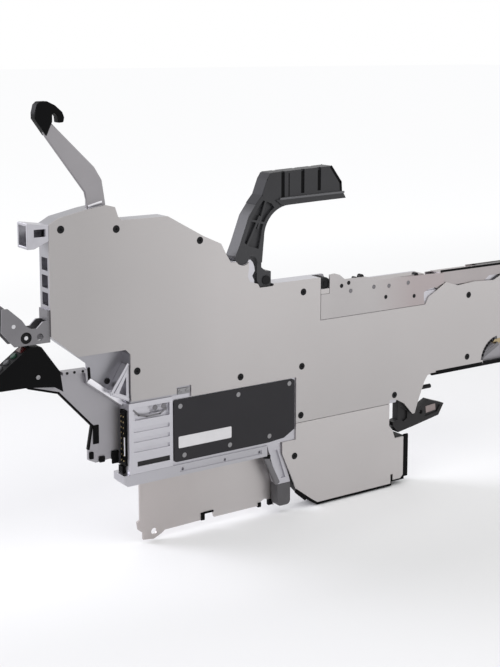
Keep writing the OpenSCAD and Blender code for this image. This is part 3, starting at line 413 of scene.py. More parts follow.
# Grip bead: a lighter grey, painted highlight for the light caught on the flange's top.
GRIP_BEAD_HIGHLIGHT = Finish(
    "moulded_bead_painted_highlight", (0.095, 0.095, 0.102), 0.0, 0.4, Grain.MOULDED, 0.06, 0.02 * MM, 0.1, 8 * MM, sheen=0.4
)
BLACK_MOULD = Finish(
    "black_shell", (0.003, 0.003, 0.0033), 0.0, 0.46, Grain.MOULDED, 0.06, 0.025 * MM, 0.15, 14 * MM,
    (0.02, 0.02, 0.022), 0.4, sheen=0.06,
)
FOOT_MOULD = Finish(
    "grey_moulding", (0.088, 0.085, 0.09), 0.0, 0.5, Grain.MOULDED, 0.06, 0.03 * MM, 0.1, 10 * MM, sheen=0.25
)
BLACK_STEEL = Finish(
    "blackened_steel", (0.03, 0.029, 0.03), 0.5, 0.36, Grain.BLASTED, 0.07, 0.008 * MM, 0.15, 12 * MM,
    (0.3, 0.3, 0.3), 0.45, sheen=0.2,
)
DARK_SCREW = Finish(
    "black_oxide", (0.012, 0.012, 0.013), 0.3, 0.42, Grain.BLASTED, 0.05, 0.006 * MM, 0.15, 3 * MM, sheen=0.15
)
POLISHED = Finish(
    "polished_edge", (0.84, 0.83, 0.86), 1.0, 0.3, Grain.BRUSHED, 0.05, 0.003 * MM, 0.04, 8 * MM
)
ZINC = Finish("zinc_plate", (0.29, 0.287, 0.295), 1.0, 0.3, Grain.TURNED, 0.06, 0.004 * MM, 0.05, 4 * MM)
BRASS = Finish("hobbed_brass", (0.43, 0.345, 0.21), 1.0, 0.3, Grain.TURNED, 0.07, 0.004 * MM, 0.06, 8 * MM)
BRONZE = Finish("sintered_bronze", (0.3, 0.255, 0.25), 1.0, 0.5, Grain.BLASTED, 0.08, 0.01 * MM, 0.12, 4 * MM)
MOTOR_CAN = Finish("motor_can", (0.06, 0.06, 0.065), 0.7, 0.38, Grain.TURNED, 0.06, 0.005 * MM, 0.08, 10 * MM)
BOARD = Finish(
    "solder_mask", (0.02, 0.13, 0.06), 0.0, 0.32, Grain.SMOOTH, 0.06, 0.02 * MM, 0.1, 9 * MM, coat=0.3
)
RUBBER = Finish(
    "soft_rubber", (0.014, 0.014, 0.015), 0.0, 0.7, Grain.BLASTED, 0.08, 0.03 * MM, 0.15, 6 * MM, sheen=0.2
)
GREEN_KEY = Finish(
    "green_key", (0.012, 0.045, 0.028), 0.0, 0.4, Grain.MOULDED, 0.05, 0.02 * MM, 0.06, 4 * MM, sheen=0.3
)
GREY_KEY = replace(GREEN_KEY, name="grey_key", colour=(0.05, 0.05, 0.054), roughness=0.42)
LENS = Finish(
    "tinted_lens", (0.045, 0.006, 0.006), 0.0, 0.12, Grain.SMOOTH, 0.03, 0.004 * MM, 0.08, 5 * MM, coat=0.3
)
LABEL = Finish("bare_label", (0.63, 0.622, 0.638), 0.0, 0.4, Grain.SMOOTH, 0.05, 0.01 * MM, 0.06, 8 * MM)
GOLD = Finish("gilt_contact", (0.7, 0.55, 0.3), 1.0, 0.24, Grain.BRUSHED, 0.05, 0.003 * MM, 0.05, 5 * MM)

NODE_FINISH: dict[Finish, tuple[str, ...]] = {
    SHADED_PLATE: ("upper_side_plate",),
    CHEEK_PLATE: ("peel_cheek",),
    LOWER_PLATE_PAINTED_LIGHT: ("lower_side_plate",),
    GUIDE_PLATE: ("lower_guide_plate",),
    SHADED_FRAME_METAL: ("main_frame",),
    CHUTE_METAL: ("tape_chute",),
    RAIL_METAL: ("base_rail",),
    ARM_PLATE: ("rear_arm",),
    TAPE_ARM: ("tape_arm",),
    DARK_PLATE: ("entry_bracket",),
    HOUSING_METAL: ("connector_housing",),
    ALUMINIUM: ("control_case", "gusset", "handle_rest", "tape_bed", "support_strut"),
    BRIGHT_STEEL: (
        "latch_pin", "clamp_crank", "clamp_link", "entry_axles", "front_locating_pin", "upper_locating_pin",
        "cover_hinge_pin", "drive_axles",
    ),
    GUIDE_STEEL: ("tape_cover", "rear_tape_cover"),
    COVER_PAINT: ("control_cover",),
    HANDLE_MOULD: ("handle",),
    BLACK_MOULD: ("module_body", "panel_housing", "tape_hook", "rear_connector", "nose_rail"),
    FOOT_MOULD: ("strut_foot",),
    BLACK_STEEL: ("clamp_latch", "pickup_shutter"),
    DARK_SCREW: ("side_plate_screws", "cheek_screws", "stop_pin", "handle_pin", "takeup_axles"),
    ZINC: ("cover_screws",),
    BRASS: ("tape_sprocket", "sprocket_gear", "idler_gear", "motor_pinion", "takeup_roller", "pinch_roller"),
    MOTOR_CAN: ("feed_motor", "takeup_motor"),
    BOARD: ("control_board", "driver_board"),
    RUBBER: ("lower_entry_roller", "upper_entry_roller", "peel_roller"),
    GREEN_KEY: ("feed_button",),
    GREY_KEY: ("back_button", "mode_button"),
    LENS: ("panel_lens",),
}


def node_body(node: str) -> str:
    """Returns the body that carries a CAD node."""
    return frame["nodes"][node]["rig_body"]


def dress_nodes() -> None:
    """Gives every CAD node its finish."""
    for finish, nodes in NODE_FINISH.items():
        for node in nodes:
            mesh = frame["nodes"][node].data
            mesh.materials.clear()
            mesh.materials.append(finish.material())
            log.info("%s in %s", node, finish.name)


def make_piece(name: str, mesh: bmesh.types.BMesh, finish: Finish, body: str) -> bpy.types.Object:
    """Turns a bmesh into a piece that rides on a body.

    Args:
        name: Name of the piece.
        mesh: Its shape, in the model's frame; it is freed.
        finish: Its finish.
        body: The body that carries it.

    Returns:
        The new object.
    """
    data = bpy.data.meshes.new(name)
    mesh.to_mesh(data)
    mesh.free()
    data.polygons.foreach_set("use_smooth", [True] * len(data.polygons))
    data.set_sharp_from_angle(angle=math.radians(SMOOTH_ANGLE))
    data.materials.append(finish.material())
    piece = bpy.data.objects.new(name, data)
    bpy.context.scene.collection.objects.link(piece)
    even = piece.modifiers.new("even_faces", "WEIGHTED_NORMAL")
    even.keep_sharp = True
    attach(piece, body)
    log.info("%s on %s", name, body)
    return piece


def at(x: float, y: float, z: float) -> Vector:
    """Returns a point of the drawing in the model's frame.

    Args:
        x: Millimetres from the rear datum.
        y: Millimetres from the middle of the slot.
        z: Millimetres over the drive module's plate.

    Returns:
        The point in metres.
    """
    return (Vector((x, y, z)) - DATUM) * MM


def round_edges(
    mesh: bmesh.types.BMesh, edges: list[bmesh.types.BMEdge], radius: float, segments: int, clamp: bool = True
) -> list[bmesh.types.BMFace]:
    """Rounds edges of a bmesh.

    Args:
        mesh: The bmesh.
        edges: Its edges that are rounded.
        radius: Width of the round.
        segments: Faces across the round.
        clamp: True to stop rounds where they meet.

    Returns:
        The faces of the rounds.
    """
    made = bmesh.ops.bevel(
        mesh, geom=edges, offset=radius, offset_type="OFFSET", segments=segments, profile=0.5, affect="EDGES",
        clamp_overlap=clamp, material=-1,
    )
    return made["faces"]


def add_box(
    mesh: bmesh.types.BMesh, middle: Vector, size: Vector, radius: float, turn: float = 0.0,
    upright: bool = False,
) -> None:
    """Adds a box with rounded edges.

    Args:
        mesh: The bmesh that takes the box.
        middle: Its middle.
        size: Its size.
        radius: Radius of its edges.
        turn: Its turn about Y.
        upright: True to round only the edges that run along Y.
    """
    known = set(mesh.verts)
    made = bmesh.ops.create_cube(mesh, size=1.0)["verts"]
    bmesh.ops.scale(mesh, vec=size, verts=made)
    edges = {edge for vertex in made for edge in vertex.link_edges}
    if upright:
        edges = {edge for edge in edges if edge.verts[0].co.y != edge.verts[1].co.y}
    round_edges(mesh, list(edges), radius, CORNER_SEGMENTS if upright else EDGE_SEGMENTS)
    place = Matrix.Translation(middle) @ Matrix.Rotation(turn, 4, "Y")
    bmesh.ops.transform(mesh, matrix=place, verts=[v for v in mesh.verts if v not in known])


def add_bar(mesh: bmesh.types.BMesh, near: Vector, radius: float, length: float) -> list[bmesh.types.BMVert]:
    """Adds a round bar along Y.

    Args:
        mesh: The bmesh that takes the bar.
        near: Middle of its near end.
        radius: Its radius.
        length: Its length.

    Returns:
        The bar's vertices.
    """
    place = Matrix.Translation(near + Vector((0, length / 2, 0))) @ Matrix.Rotation(math.pi / 2, 4, "X")
    made = bmesh.ops.create_cone(
        mesh, cap_ends=True, segments=BAR_SIDES, radius1=radius, radius2=radius, depth=length, matrix=place
    )
    return made["verts"]


@dataclass(frozen=True)
class Block:
    """A box with rounded edges.

    Attributes:
        corners: X and Z of its low and its high corner.
        across: Its near and its far side along Y.
        radius: Radius of its edges.
        tilt: Its turn about Y, in degrees.
        upright: True to round only the edges that run along Y.
    """

    corners: Span
    across: Sides
    radius: float
    tilt: float = 0.0
    upright: bool = False

    def add(self, mesh: bmesh.types.BMesh) -> None:
        """Adds the box.

        Args:
            mesh: The bmesh that takes it.
        """
        low, high = (at(x, y, z) for (x, z), y in zip(self.corners, self.across))
        add_box(mesh, (low + high) / 2, high - low, self.radius, math.radians(self.tilt), self.upright)


@dataclass(frozen=True)
class Strip:
    """A rounded strip that runs from corner to corner.

    Attributes:
        corners: X and Z of each corner.
        across: Its near and its far side along Y.
        width: Its width across its run.
    """

    corners: tuple[Point, ...]
    across: Sides
    width: float

    def add(self, mesh: bmesh.types.BMesh) -> None:
        """Adds the strip.

        Args:
            mesh: The bmesh that takes it.
        """
        near, far = self.across
        for (x, z), (end_x, end_z) in zip(self.corners, self.corners[1:]):
            run = Vector((end_x - x, 0, end_z - z))
            size = Vector((run.length + self.width, far - near, self.width)) * MM
            middle = at((x + end_x) / 2, (near + far) / 2, (z + end_z) / 2)
            add_box(mesh, middle, size, STRIP_ROUND * self.width * MM, -math.atan2(run.z, run.x))


@dataclass(frozen=True)
class Pin:
    """A round pin along Y.

    Attributes:
        middle: X and Z of its axis.
        across: Its near and its far end along Y.
        radius: Its radius.
    """

    middle: Point
    across: Sides
    radius: float

    def add(self, mesh: bmesh.types.BMesh) -> None:
        """Adds the pin.

        Args:
            mesh: The bmesh that takes it.
        """
        near, far = self.across
        add_bar(mesh, at(self.middle[0], near, self.middle[1]), self.radius, (far - near) * MM)


@dataclass(frozen=True)
class Screw:
    """A low screw head with a round-edged rim and a sunk socket.

    Attributes:
        middle: X and Z of its axis.
        face_y: The face that it stands on.
        radius: Radius of the head.
        side: Way that the head looks.
    """

    middle: Point
    face_y: float
    radius: float
    side: Side = Side.NEAR

    def add(self, mesh: bmesh.types.BMesh) -> None:
        """Adds the head.

        Args:
            mesh: The bmesh that takes it.
        """
        height = HEAD_HEIGHT * self.radius
        way = self.side.value
        face = at(self.middle[0], self.face_y, self.middle[1])
        start = face if self.side is Side.FAR else face - Vector((0, height, 0))
        made = add_bar(mesh, start, self.radius, height)
        walls = {wall for vertex in made for wall in vertex.link_faces}
        cap = max(walls, key=lambda wall: (way * wall.calc_center_median().y, len(wall.verts)))
        rim = list(cap.edges)
        bmesh.ops.inset_region(mesh, faces=[cap], thickness=HEAD_RIM * self.radius, use_even_offset=True)
        sunk = bmesh.ops.extrude_discrete_faces(mesh, faces=[cap])["faces"][0]
        bmesh.ops.translate(mesh, verts=sunk.verts, vec=(0, -way * SOCKET_DEPTH * height, 0))
        round_edges(mesh, rim, HEAD_ROUND * self.radius, EDGE_SEGMENTS, clamp=False)


Shapes = tuple[Block | Strip | Pin | Screw, ...]


def alike(kind: type, places: Sequence, *shared: float | Sides | Side) -> Shapes:
    """Returns shapes of one kind that differ only in their place.

    Args:
        kind: Class of the shapes.
        places: Corners or middle of each shape.
        shared: What they have in common, in the order of the class.

    Returns:
        The shapes.
    """
    return tuple(kind(place, *shared) for place in places)


def mirrored(shapes: Shapes) -> Shapes:
    """Returns shapes together with their mirror images on the other side of the slot's middle.

    Args:
        shapes: Blocks and strips on one side.

    Returns:
        The shapes and their images.
    """
    return shapes + tuple(replace(shape, across=(-shape.across[1], -shape.across[0])) for shape in shapes)


def build_piece(name: str, finish: Finish, shapes: Shapes, body: str = ROOT) -> None:
    """Builds a piece from shapes.

    Args:
        name: Name of the piece.
        finish: Its finish.
        shapes: What it is made of.
        body: The body that carries it.
    """
    mesh = bmesh.new()
    for shape in shapes:
        shape.add(mesh)
    make_piece(name, mesh, finish, body)


@dataclass
class ControlCoverDress:
    """What sits on the control cover, and on the case beside it.

    Attributes:
        label: Bare label.
        clip: Clip on the case, with two screws.
    """

    label: Shapes = (Block(((146, 74), (196, 83.5)), (-8.58, -8.4), 0.9 * MM, upright=True),)
    clip: Shapes = (
        Block(((145.5, 117.6), (157, 122.4)), (-8.3, -6.9), 0.5 * MM),
        *alike(Screw, ((148.1, 120), (154.4, 120)), -8.3, 1.5 * MM),
    )

    def build(self) -> None:
        """Builds the label and the clip."""
        build_piece("cover_label", LABEL, self.label)
        build_piece("case_clip", ZINC, self.clip)


@dataclass
class ConnectorDress:
    """Contacts, clip and foot of the rear connector, painted shade in its housing's lower slot, and a dark
    strip.

    Attributes:
        rows: Number of contacts in each column.
        pitch: Spacing of the contacts.
        contact_x: Rear and front end of the contacts.
        contact_z: Lower and upper edge of the lowest contacts.
        columns: Near and far side of each column of contacts.
        contact_round: Radius of their edges.
        clip: Clip in the connector's mouth.
        foot: Foot under the connector.
        slot_shade: Dark sheet in the housing's lower slot: painted shade in the slot.
        strip_and_studs: Dark strip with two studs on the housing's side.
    """

    rows: int = 9
    pitch: float = 4.4
    contact_x: Sides = (100.1, 103.7)
    contact_z: Sides = (70, 71.4)
    columns: tuple[Sides, Sides] = ((-2.5, -1.7), (1.1, 1.9))
    contact_round: float = 0.25 * MM
    clip: Shapes = (Block(((99.8, 75), (100.9, 90)), (-4.2, -3.2), 0.3 * MM),)
    foot: Shapes = (Block(((99.3, 60.4), (102.2, 66.2)), (-1.5, 5), 0.3 * MM),)
    # Painted shade in the housing's lower slot.
    slot_shade: Shapes = (Block(((108.9, 65.9), (138.1, 70.1)), (-7.2, -6.4), 0.1 * MM),)
    strip_and_studs: Shapes = (
        Strip(((106, 111.4), (110.4, 107), (117.6, 105), (129.3, 105.4), (135, 108.6)), (-8.62, -8.3), 1.5),
        *alike(Pin, ((125, 110.8), (132.6, 111)), (-8.7, -8.2), 2.1 * MM),
    )

    def build(self) -> None:
        """Builds the contacts, the clip, the foot, the slot's painted shade and the dark strip."""
        build_piece("connector_contacts", GOLD, self._contacts())
        build_piece("connector_clip", POLISHED, self.clip)
        build_piece("connector_foot", BLACK_MOULD, self.foot)
        build_piece("slot_painted_shade", BLACK_STEEL, self.slot_shade)
        build_piece("housing_strip_and_studs", DARK_PLATE, self.strip_and_studs)

    def _contacts(self) -> Shapes:
        """Returns the two columns of contacts."""
        (rear, front), (low, high) = self.contact_x, self.contact_z
        rises = [row * self.pitch for row in range(self.rows)]
        return tuple(
            Block(((rear, low + rise), (front, high + rise)), across, self.contact_round)
            for rise in rises for across in self.columns
        )


@dataclass
class RearArmDress:
    """Small pieces on the rear arm.

    Attributes:
        plug: Dark plug in the arm's slot, dark feet under its end and a dark stop at the flange's end.
        filler: Filler in the lower part of the slot.
        lip_highlight: Bright polished strip on the flange: painted highlight along its edge.
        underside_shade: Dark strip under the arm: painted shade for its shaded underside.
        rivets: Rivets on the flange.
    """

    plug: Shapes = (
        Block(((78, 86), (83, 101)), (4.7, 7.9), 0.5 * MM),
        *alike(
            Block, (((74.4, 74.6), (78, 80.4)), ((82.6, 70.6), (87.6, 75.6)), ((93.4, 67.6), (99.6, 78))),
            (3.9, 5.5), 0.8 * MM,
        ),
        Strip(((73.4, 147.2), (73.9, 139)), (0.7, 2.1), 2.2),
    )
    filler: Shapes = (Block(((78, 80), (83, 86)), (5.5, 7.9), 0.1 * MM),)
    # Painted highlight along the flange's edge.
    lip_highlight: Shapes = (Strip(((74.4, 137.2), (100.6, 117)), (0.6, 1.9), 4.2),)
    # Painted shade along the arm's underside.
    underside_shade: Shapes = (Strip(((26, 138.3), (50, 131), (77.5, 101), (74.2, 83)), (5.1, 8.4), 1.7),)
    rivets: Shapes = alike(Screw, ((55.5, 146.2), (61.5, 146.1), (68.5, 145.9)), 1.5, 1.05 * MM)

    def build(self) -> None:
        """Builds the plug, the filler, the lip's painted highlight, the painted shade under the arm and the
        rivets.
        """
        build_piece("arm_plug", BLACK_MOULD, self.plug)
        build_piece("arm_filler", ARM_PLATE, self.filler)
        build_piece("arm_lip_painted_highlight", POLISHED, self.lip_highlight)
        build_piece("arm_underside_painted_shade", BLACK_MOULD, self.underside_shade)
        build_piece("arm_rivets", DARK_SCREW, self.rivets)


@dataclass
class BodyTrimDress:
    """Trim on the body's near side.

    Attributes:
        ribs: Ribs of the gusset.
        fillers: Strip of plate over the connector housing, and the plate under the peel roller.
        strut_shade: Dark band along the strut's rear side: painted shade on that face.
        edges: Dark edges on the module, on the strut and under the nose.
        seat: Bright seat of the tape arm.
    """

    ribs: Shapes = alike(
        Strip, (((88.6, 127.4), (102.6, 147.6)), ((88.6, 126.6), (102.4, 120.4))), (-6.9, -5.4), 2.6
    )
    fillers: Shapes = alike(
        Block, (((104.3, 118.6), (144.9, 124.05)), ((286.3, 182.2), (295.3, 186.6))), (-8.45, -7.05), 0.2 * MM
    )
    # Painted shade on the strut's rear side.
    strut_shade: Shapes = (Strip(((230.4, 53), (243.2, 26.6)), (-6.9, -3), 5.0),)
    edges: Shapes = (
        Strip(((286, -0.2), (366, -0.2)), (-8.3, -6.4), 1.8),
        Strip(((384.1, 7), (384.1, 40.8)), (-8.3, -6.4), 6),
        Strip(((264, 15.4), (283.4, 0.9)), (-8.3, -6.4), 2.4),
        Strip(((263, 14), (271.6, 6.6)), (-8.3, -6.4), 3.4),
        Strip(((230.4, 51), (233.6, 50.4)), (-8.3, -6.4), 3.6),
        Strip(((415, 94.1), (540, 94.1)), (-8.3, -6.4), 2.4),
    )
    seat: Shapes = (Strip(((74.6, 271.4), (84.4, 273.8)), (-2.4, -1.3), 1.8),)

    def build(self) -> None:
        """Builds the trim."""
        build_piece("gusset_ribs", ALUMINIUM, self.ribs)
        build_piece("plate_fillers", SHADED_PLATE, self.fillers)
        build_piece("strut_painted_shade", DARK_PLATE, self.strut_shade)
        build_piece("dark_edges", BLACK_MOULD, self.edges)
        build_piece("arm_seat", POLISHED, self.seat)


@dataclass
class GripDress:
    """What sits on the grip, which turns with the handle.

    Attributes:
        groove_shade: Painted shade on the near flank: dark blocks in the grooves, a fine dark line, a dark
            rim round the end.
        bead_highlight: Lighter bead along the near side of the flange: painted highlight on the flange's top
            edge.
        pad: Dull dark strip on the upper back of the grip: painted shade where the back shows no highlight.
    """

    # Painted shade: dark blocks in the grooves, a dark line and a dark rim round the grip's end.
    groove_shade: Shapes = (
        *alike(
            Block,
            (((246, 266.5), (249.4, 286.6)), ((266, 269), (269.4, 286.6)), ((283, 270), (286.4, 286.6))),
            (-6.5, -5.15), 0.3 * MM,
        ),
        Strip(((253.8, 267.4), (253.8, 285.8)), (-7.12, -6.4), 1.2),
        Strip(((297.4, 288.6), (307, 275.6), (307.6, 269.6)), (-7.12, -6.4), 2.6),
    )
    bead_highlight: Shapes = (Strip(((245, 265.7), (309.6, 267.2)), (-8.5, -6.6), 1.8),)
    pad: Shapes = (Strip(((235, 286.2), (232.2, 282), (227.2, 269.6), (221.4, 263)), (-7.05, 7.05), 1.3),)

    def build(self) -> None:
        """Builds the painted groove shade and the highlight beads on both flanks, and the painted back shade.
        """
        body = node_body("handle")
        build_piece("grip_groove_painted_shade", BLACK_MOULD, mirrored(self.groove_shade), body)
        build_piece("grip_beads_painted_highlight", GRIP_BEAD_HIGHLIGHT, mirrored(self.bead_highlight), body)
        build_piece("grip_back_painted_shade", GRIP_BACK_SHADE, self.pad, body)


@dataclass
class TapeGuideDress:
    """Small pieces along the tape's path.

    Attributes:
        strip: Dark edge strip of the tape cover.
        pins: Guide pins that peep over the cheek.
        dowels: Dowels in the cheek.
    """

    strip: Shapes = (Block(((424, 186.8), (543, 188.6)), (-6.75, -5.4), 0.3 * MM),)
    pins: Shapes = (
        Pin((331.5, 192.4), (-6.9, -3), 2.3 * MM),
        Pin((324.8, 191.6), (-6.9, -3), 1.6 * MM),
        Pin((393.9, 187.4), (-6.9, -3), 2.4 * MM),
    )
    dowels: Shapes = alike(
        Pin, ((318.2, 181.8), (343.9, 182.5), (361, 181.6), (383.2, 182)), (-8.4, -7.9), 1.75 * MM
    )

    def build(self) -> None:
        """Builds the strip on the cover, and the pins and the dowels on the frame."""
        build_piece("cover_edge_strip", BLACK_MOULD, self.strip, "cover")
        build_piece("guide_pins", DARK_SCREW, self.pins)
        build_piece("cheek_dowels", DARK_PLATE, self.dowels)


@dataclass
class GuidePlateDress:
    """Dark clips in the notches of the lower guide plate.

    Attributes:
        clips: The clips.
    """

    clips: Shapes = alike(
        Block,
        (
            ((174.0, 4.2), (177.6, 10.8)), ((176.4, 9.3), (186.2, 11)), ((230.6, 3.4), (233.8, 7.4)),
            ((241.2, 3.2), (245.6, 8.4)),
        ),
        (3.2, 6.3), 0.4 * MM,
    )

    def build(self) -> None:
        """Builds the clips as one piece."""
        build_piece("guide_clips", BLACK_MOULD, self.clips)


@dataclass
class DriveWindowDress:
    """What sits in and round the window in the nose.

    Attributes:
        shield: Shield behind the gears.
        bridge: Bridge over the pinion.
        rim: Middle of the window's dark rim, as X and Z.
        rim_radius: Radius of the rim, in millimetres.
        rim_sweep: First and last angle of the rim, in degrees.
        rim_parts: Number of straight parts of the rim.
        rim_y: Near and far side of the rim.
        rim_width: Width of the rim.
        sill: Dark sill on both sides of the window.
    """

    shield: Shapes = (Block(((480, 96), (514.5, 114.5)), (-2.65, -2.2), 0.1 * MM),)
    bridge: Shapes = (Strip(((480, 102), (497.5, 110.6)), (-6.9, -6.1), 4.0),)
    rim: Point = (497.34, 97)
    rim_radius: float = 21.3
    rim_sweep: tuple[float, float] = (172, 100)
    rim_parts: int = 8
    rim_y: Sides = (-8.62, -8.42)
    rim_width: float = 2.8
    sill: Shapes = alike(
        Strip, (((419, 96.2), (476, 96.2)), ((519, 96.2), (541, 96.2))), (-8.6, -8.42), 1.5
    )

    def build(self) -> None:
        """Builds the shield, the bridge, the rim and the sill."""
        build_piece("drive_shield", ARM_PLATE, self.shield)
        build_piece("drive_bridge", DARK_PLATE, self.bridge)
        build_piece("window_rim", FOOT_MOULD, (self._rim(),))
        build_piece("nose_sill", BLACK_MOULD, self.sill)

    def _rim(self) -> Strip:
        """Returns the rim as a strip along an arc."""
        first, last = self.rim_sweep
        x, z = self.rim
        corners = []
        for part in range(self.rim_parts + 1):
            turn = math.radians(first + (last - first) * part / self.rim_parts)
            corners.append((x + self.rim_radius * math.cos(turn), z + self.rim_radius * math.sin(turn)))
        return Strip(tuple(corners), self.rim_y, self.rim_width)


@dataclass
class LatchDress:
    """Bronze wear pad in the latch's arm.

    Attributes:
        pad: The pad.
    """

    pad: Shapes = (Block(((410.6, 58.2), (422.6, 64.6)), (-4.6, -3.2), 0.4 * MM, tilt=-6.0),)

    def build(self) -> None:
        """Builds the pad on the latch."""
        build_piece("latch_pad", BRONZE, self.pad, "latch")


@dataclass
class FixingsDress:
    """Screw heads that the photograph shows or a machine of this kind has on its plain sides.

    Attributes:
        panel: The panel's bright screw.
        wall: Screw on the wall behind the rear arm.
        far: Screws on the far side.
    """

    panel: Shapes = (Screw((27.5, 149.5), -8.0, 1.7 * MM),)
    wall: Shapes = (Screw((90.9, 134.1), 5.5, 2.4 * MM),)
    far: Shapes = alike(
        Screw,
        (
            (46, 252), (146, 250), (184, 226), (148, 186), (268, 188), (284, 120), (384, 160), (452, 166),
            (538, 132), (452, 100), (112, 124), (384, 132),
        ),
        8.5, 2.7 * MM, Side.FAR,
    )

    def build(self) -> None:
        """Builds the panel's screw, the wall's screw and the far side's screws."""
        build_piece("panel_screw", ZINC, self.panel)
        build_piece("wall_screw", DARK_SCREW, self.wall)
        build_piece("far_side_screws", DARK_SCREW, self.far)


@dataclass
class RoundedNode:
    """A CAD node with its sharp edges broken, as the real piece's are.

    Attributes:
        node: Name of the CAD node that it stands for.
        radius: Width of the broken edge.
        segments: Faces across a broken edge.
        crease: Least angle of an edge that is broken, in degrees.
        flat: Least angle of an edge that is kept, in degrees.
        merge: Distance under which vertices are merged.
    """

    node: str
    radius: float = 0.35 * MM
    segments: int = 2
    crease: float = 38.0
    flat: float = 0.6
    merge: float = 0.001 * MM

    def build(self) -> None:
        """Builds the rounded piece in place of the node."""
        mesh = bmesh.new()
        mesh.from_mesh(frame["nodes"][self.node].data)
        bmesh.ops.remove_doubles(mesh, verts=mesh.verts, dist=self.merge)
        flat = math.radians(self.flat)
        bmesh.ops.dissolve_limit(mesh, angle_limit=flat, verts=mesh.verts, edges=mesh.edges)
        self._break_edges(mesh)
        finish = next(finish for finish, nodes in NODE_FINISH.items() if self.node in nodes)
        piece = make_piece(f"{self.node}_rounded", mesh, finish, node_body(self.node))
        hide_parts(self.node)

    def _break_edges(self, mesh: bmesh.types.BMesh) -> None:
        """Rounds the sharp edges and marks the crests of the rounds for wear.

        Args:
            mesh: The node's merged mesh.
        """
        limit = math.radians(self.crease)
        sharp = [e for e in mesh.edges if len(e.link_faces) == 2 and e.calc_face_angle(0.0) > limit]
        faces = round_edges(mesh, sharp, self.radius, self.segments)
        layer = mesh.verts.layers.float.new(EDGE)
        rounded = set(faces)
        for vertex in mesh.verts:
            vertex[layer] = 1.0 if rounded.issuperset(vertex.link_faces) else 0.0


@dataclass
class RoundedHandle(RoundedNode):
    """The handle, with a fuller round along the back of its arm.

    Attributes:
        back: Radius along the back.
        back_segments: Faces across that round.
        flank: Distance from the middle past which an edge lies on a flank.
        side_lean: Least sideways part of a flank's normal.
        rear_lean: Least rearward part of the back's normal.
    """

    back: float = 2.2 * MM
    back_segments: int = 5
    flank: float = 6.9 * MM
    side_lean: float = 0.9
    rear_lean: float = 0.6

    def _break_edges(self, mesh: bmesh.types.BMesh) -> None:
        """Rounds the long edges along the back, and then breaks the others.

        Args:
            mesh: The node's merged mesh.
        """
        long = []
        for edge in mesh.edges:
            ways = [face.normal for face in edge.link_faces]
            side = max(abs(way.y) for way in ways)
            rear = max(-way.x for way in ways)
            if side > self.side_lean and rear > self.rear_lean and abs(edge.verts[0].co.y) > self.flank:
                long.append(edge)
        round_edges(mesh, long, self.back, self.back_segments)
        super()._break_edges(mesh)


ROUNDED: tuple[RoundedNode, ...] = (
    RoundedHandle("handle", 0.6 * MM),
    RoundedNode("tape_hook", 0.8 * MM),
    RoundedNode("control_cover", 0.3 * MM),
    RoundedNode("panel_housing", 0.7 * MM),
    RoundedNode("module_body", 0.5 * MM),
    RoundedNode("connector_housing"),
    RoundedNode("base_rail", 0.4 * MM),
    RoundedNode("tape_chute"),
    RoundedNode("handle_rest", 0.4 * MM),
    RoundedNode("support_strut", 0.4 * MM),
    RoundedNode("strut_foot", 0.6 * MM),
    RoundedNode("gusset"),
    RoundedNode("rear_arm", 0.3 * MM),
    RoundedNode("tape_arm", 1.1 * MM, 4),
    RoundedNode("upper_side_plate", 0.25 * MM),
    RoundedNode("lower_side_plate", 0.25 * MM),
    RoundedNode("lower_guide_plate", 0.25 * MM),
    RoundedNode("peel_cheek", 0.25 * MM),
    RoundedNode("clamp_latch"),
    RoundedNode("main_frame", 0.3 * MM),
)


# The floor is lighter right under the part, painted light against its contact shadow,
# darker in a ring round it, and white far away.
@dataclass(frozen=True)
class FloorFinish:
    """Pale matt floor that fades to white away from the part.

    Attributes:
        middle: Point that the fade is measured from.
        reach: Distance at which the floor is white.
        stretch: Factors on the distance along X, Y and Z.
        stops: Distance as a share of the reach, and lightness there, painted light near the middle.
        tint: Colour of the floor at lightness 1.
        roughness: Its roughness.
    """

    middle: Place = (-0.3, 0.0, -0.11)
    reach: float = 1.4
    stretch: tuple[float, float, float] = (0.4, 1.0, 1.0)
    stops: tuple[tuple[float, float], ...] = (
        (0.0, 0.86), (0.05, 0.83), (0.12, 0.75), (0.32, 0.77), (0.57, 0.92), (1.0, 1.0)
    )
    tint: Colour = (0.99, 0.992, 1.0)
    roughness: float = 0.9

    def material(self) -> bpy.types.Material:
        """Returns the floor's material."""
        material = bpy.data.materials.new("pale_floor")
        material.use_nodes = True
        tree = material.node_tree
        shader = tree.nodes["Principled BSDF"]
        shader.inputs["Roughness"].default_value = self.roughness
        shader.inputs["Specular IOR Level"].default_value = 0.0
        away = tree.nodes.new("ShaderNodeVectorMath")
        away.operation = "DISTANCE"
        away.inputs[1].default_value = tuple(m * k for m, k in zip(self.middle, self.stretch))
        near = tree.nodes.new("ShaderNodeVectorMath")
        near.operation = "MULTIPLY"
        near.inputs[1].default_value = self.stretch
        tree.links.new(tree.nodes.new("ShaderNodeTexCoord").outputs["Object"], near.inputs[0])
        tree.links.new(near.outputs["Vector"], away.inputs[0])
        share = tree.nodes.new("ShaderNodeMapRange")
        share.inputs["From Max"].default_value = self.reach
        tree.links.new(away.outputs["Value"], share.inputs["Value"])
        fade = tree.nodes.new("ShaderNodeValToRGB")
        fade.color_ramp.interpolation = "EASE"
        while len(fade.color_ramp.elements) < len(self.stops):
            fade.color_ramp.elements.new(0.5)
        for element, (place, light) in zip(fade.color_ramp.elements, self.stops):
            element.position = place
            element.color = (*(light * c for c in self.tint), 1)
        tree.links.new(share.outputs["Result"], fade.inputs["Fac"])
        tree.links.new(fade.outputs["Color"], shader.inputs["Base Color"])
        return material


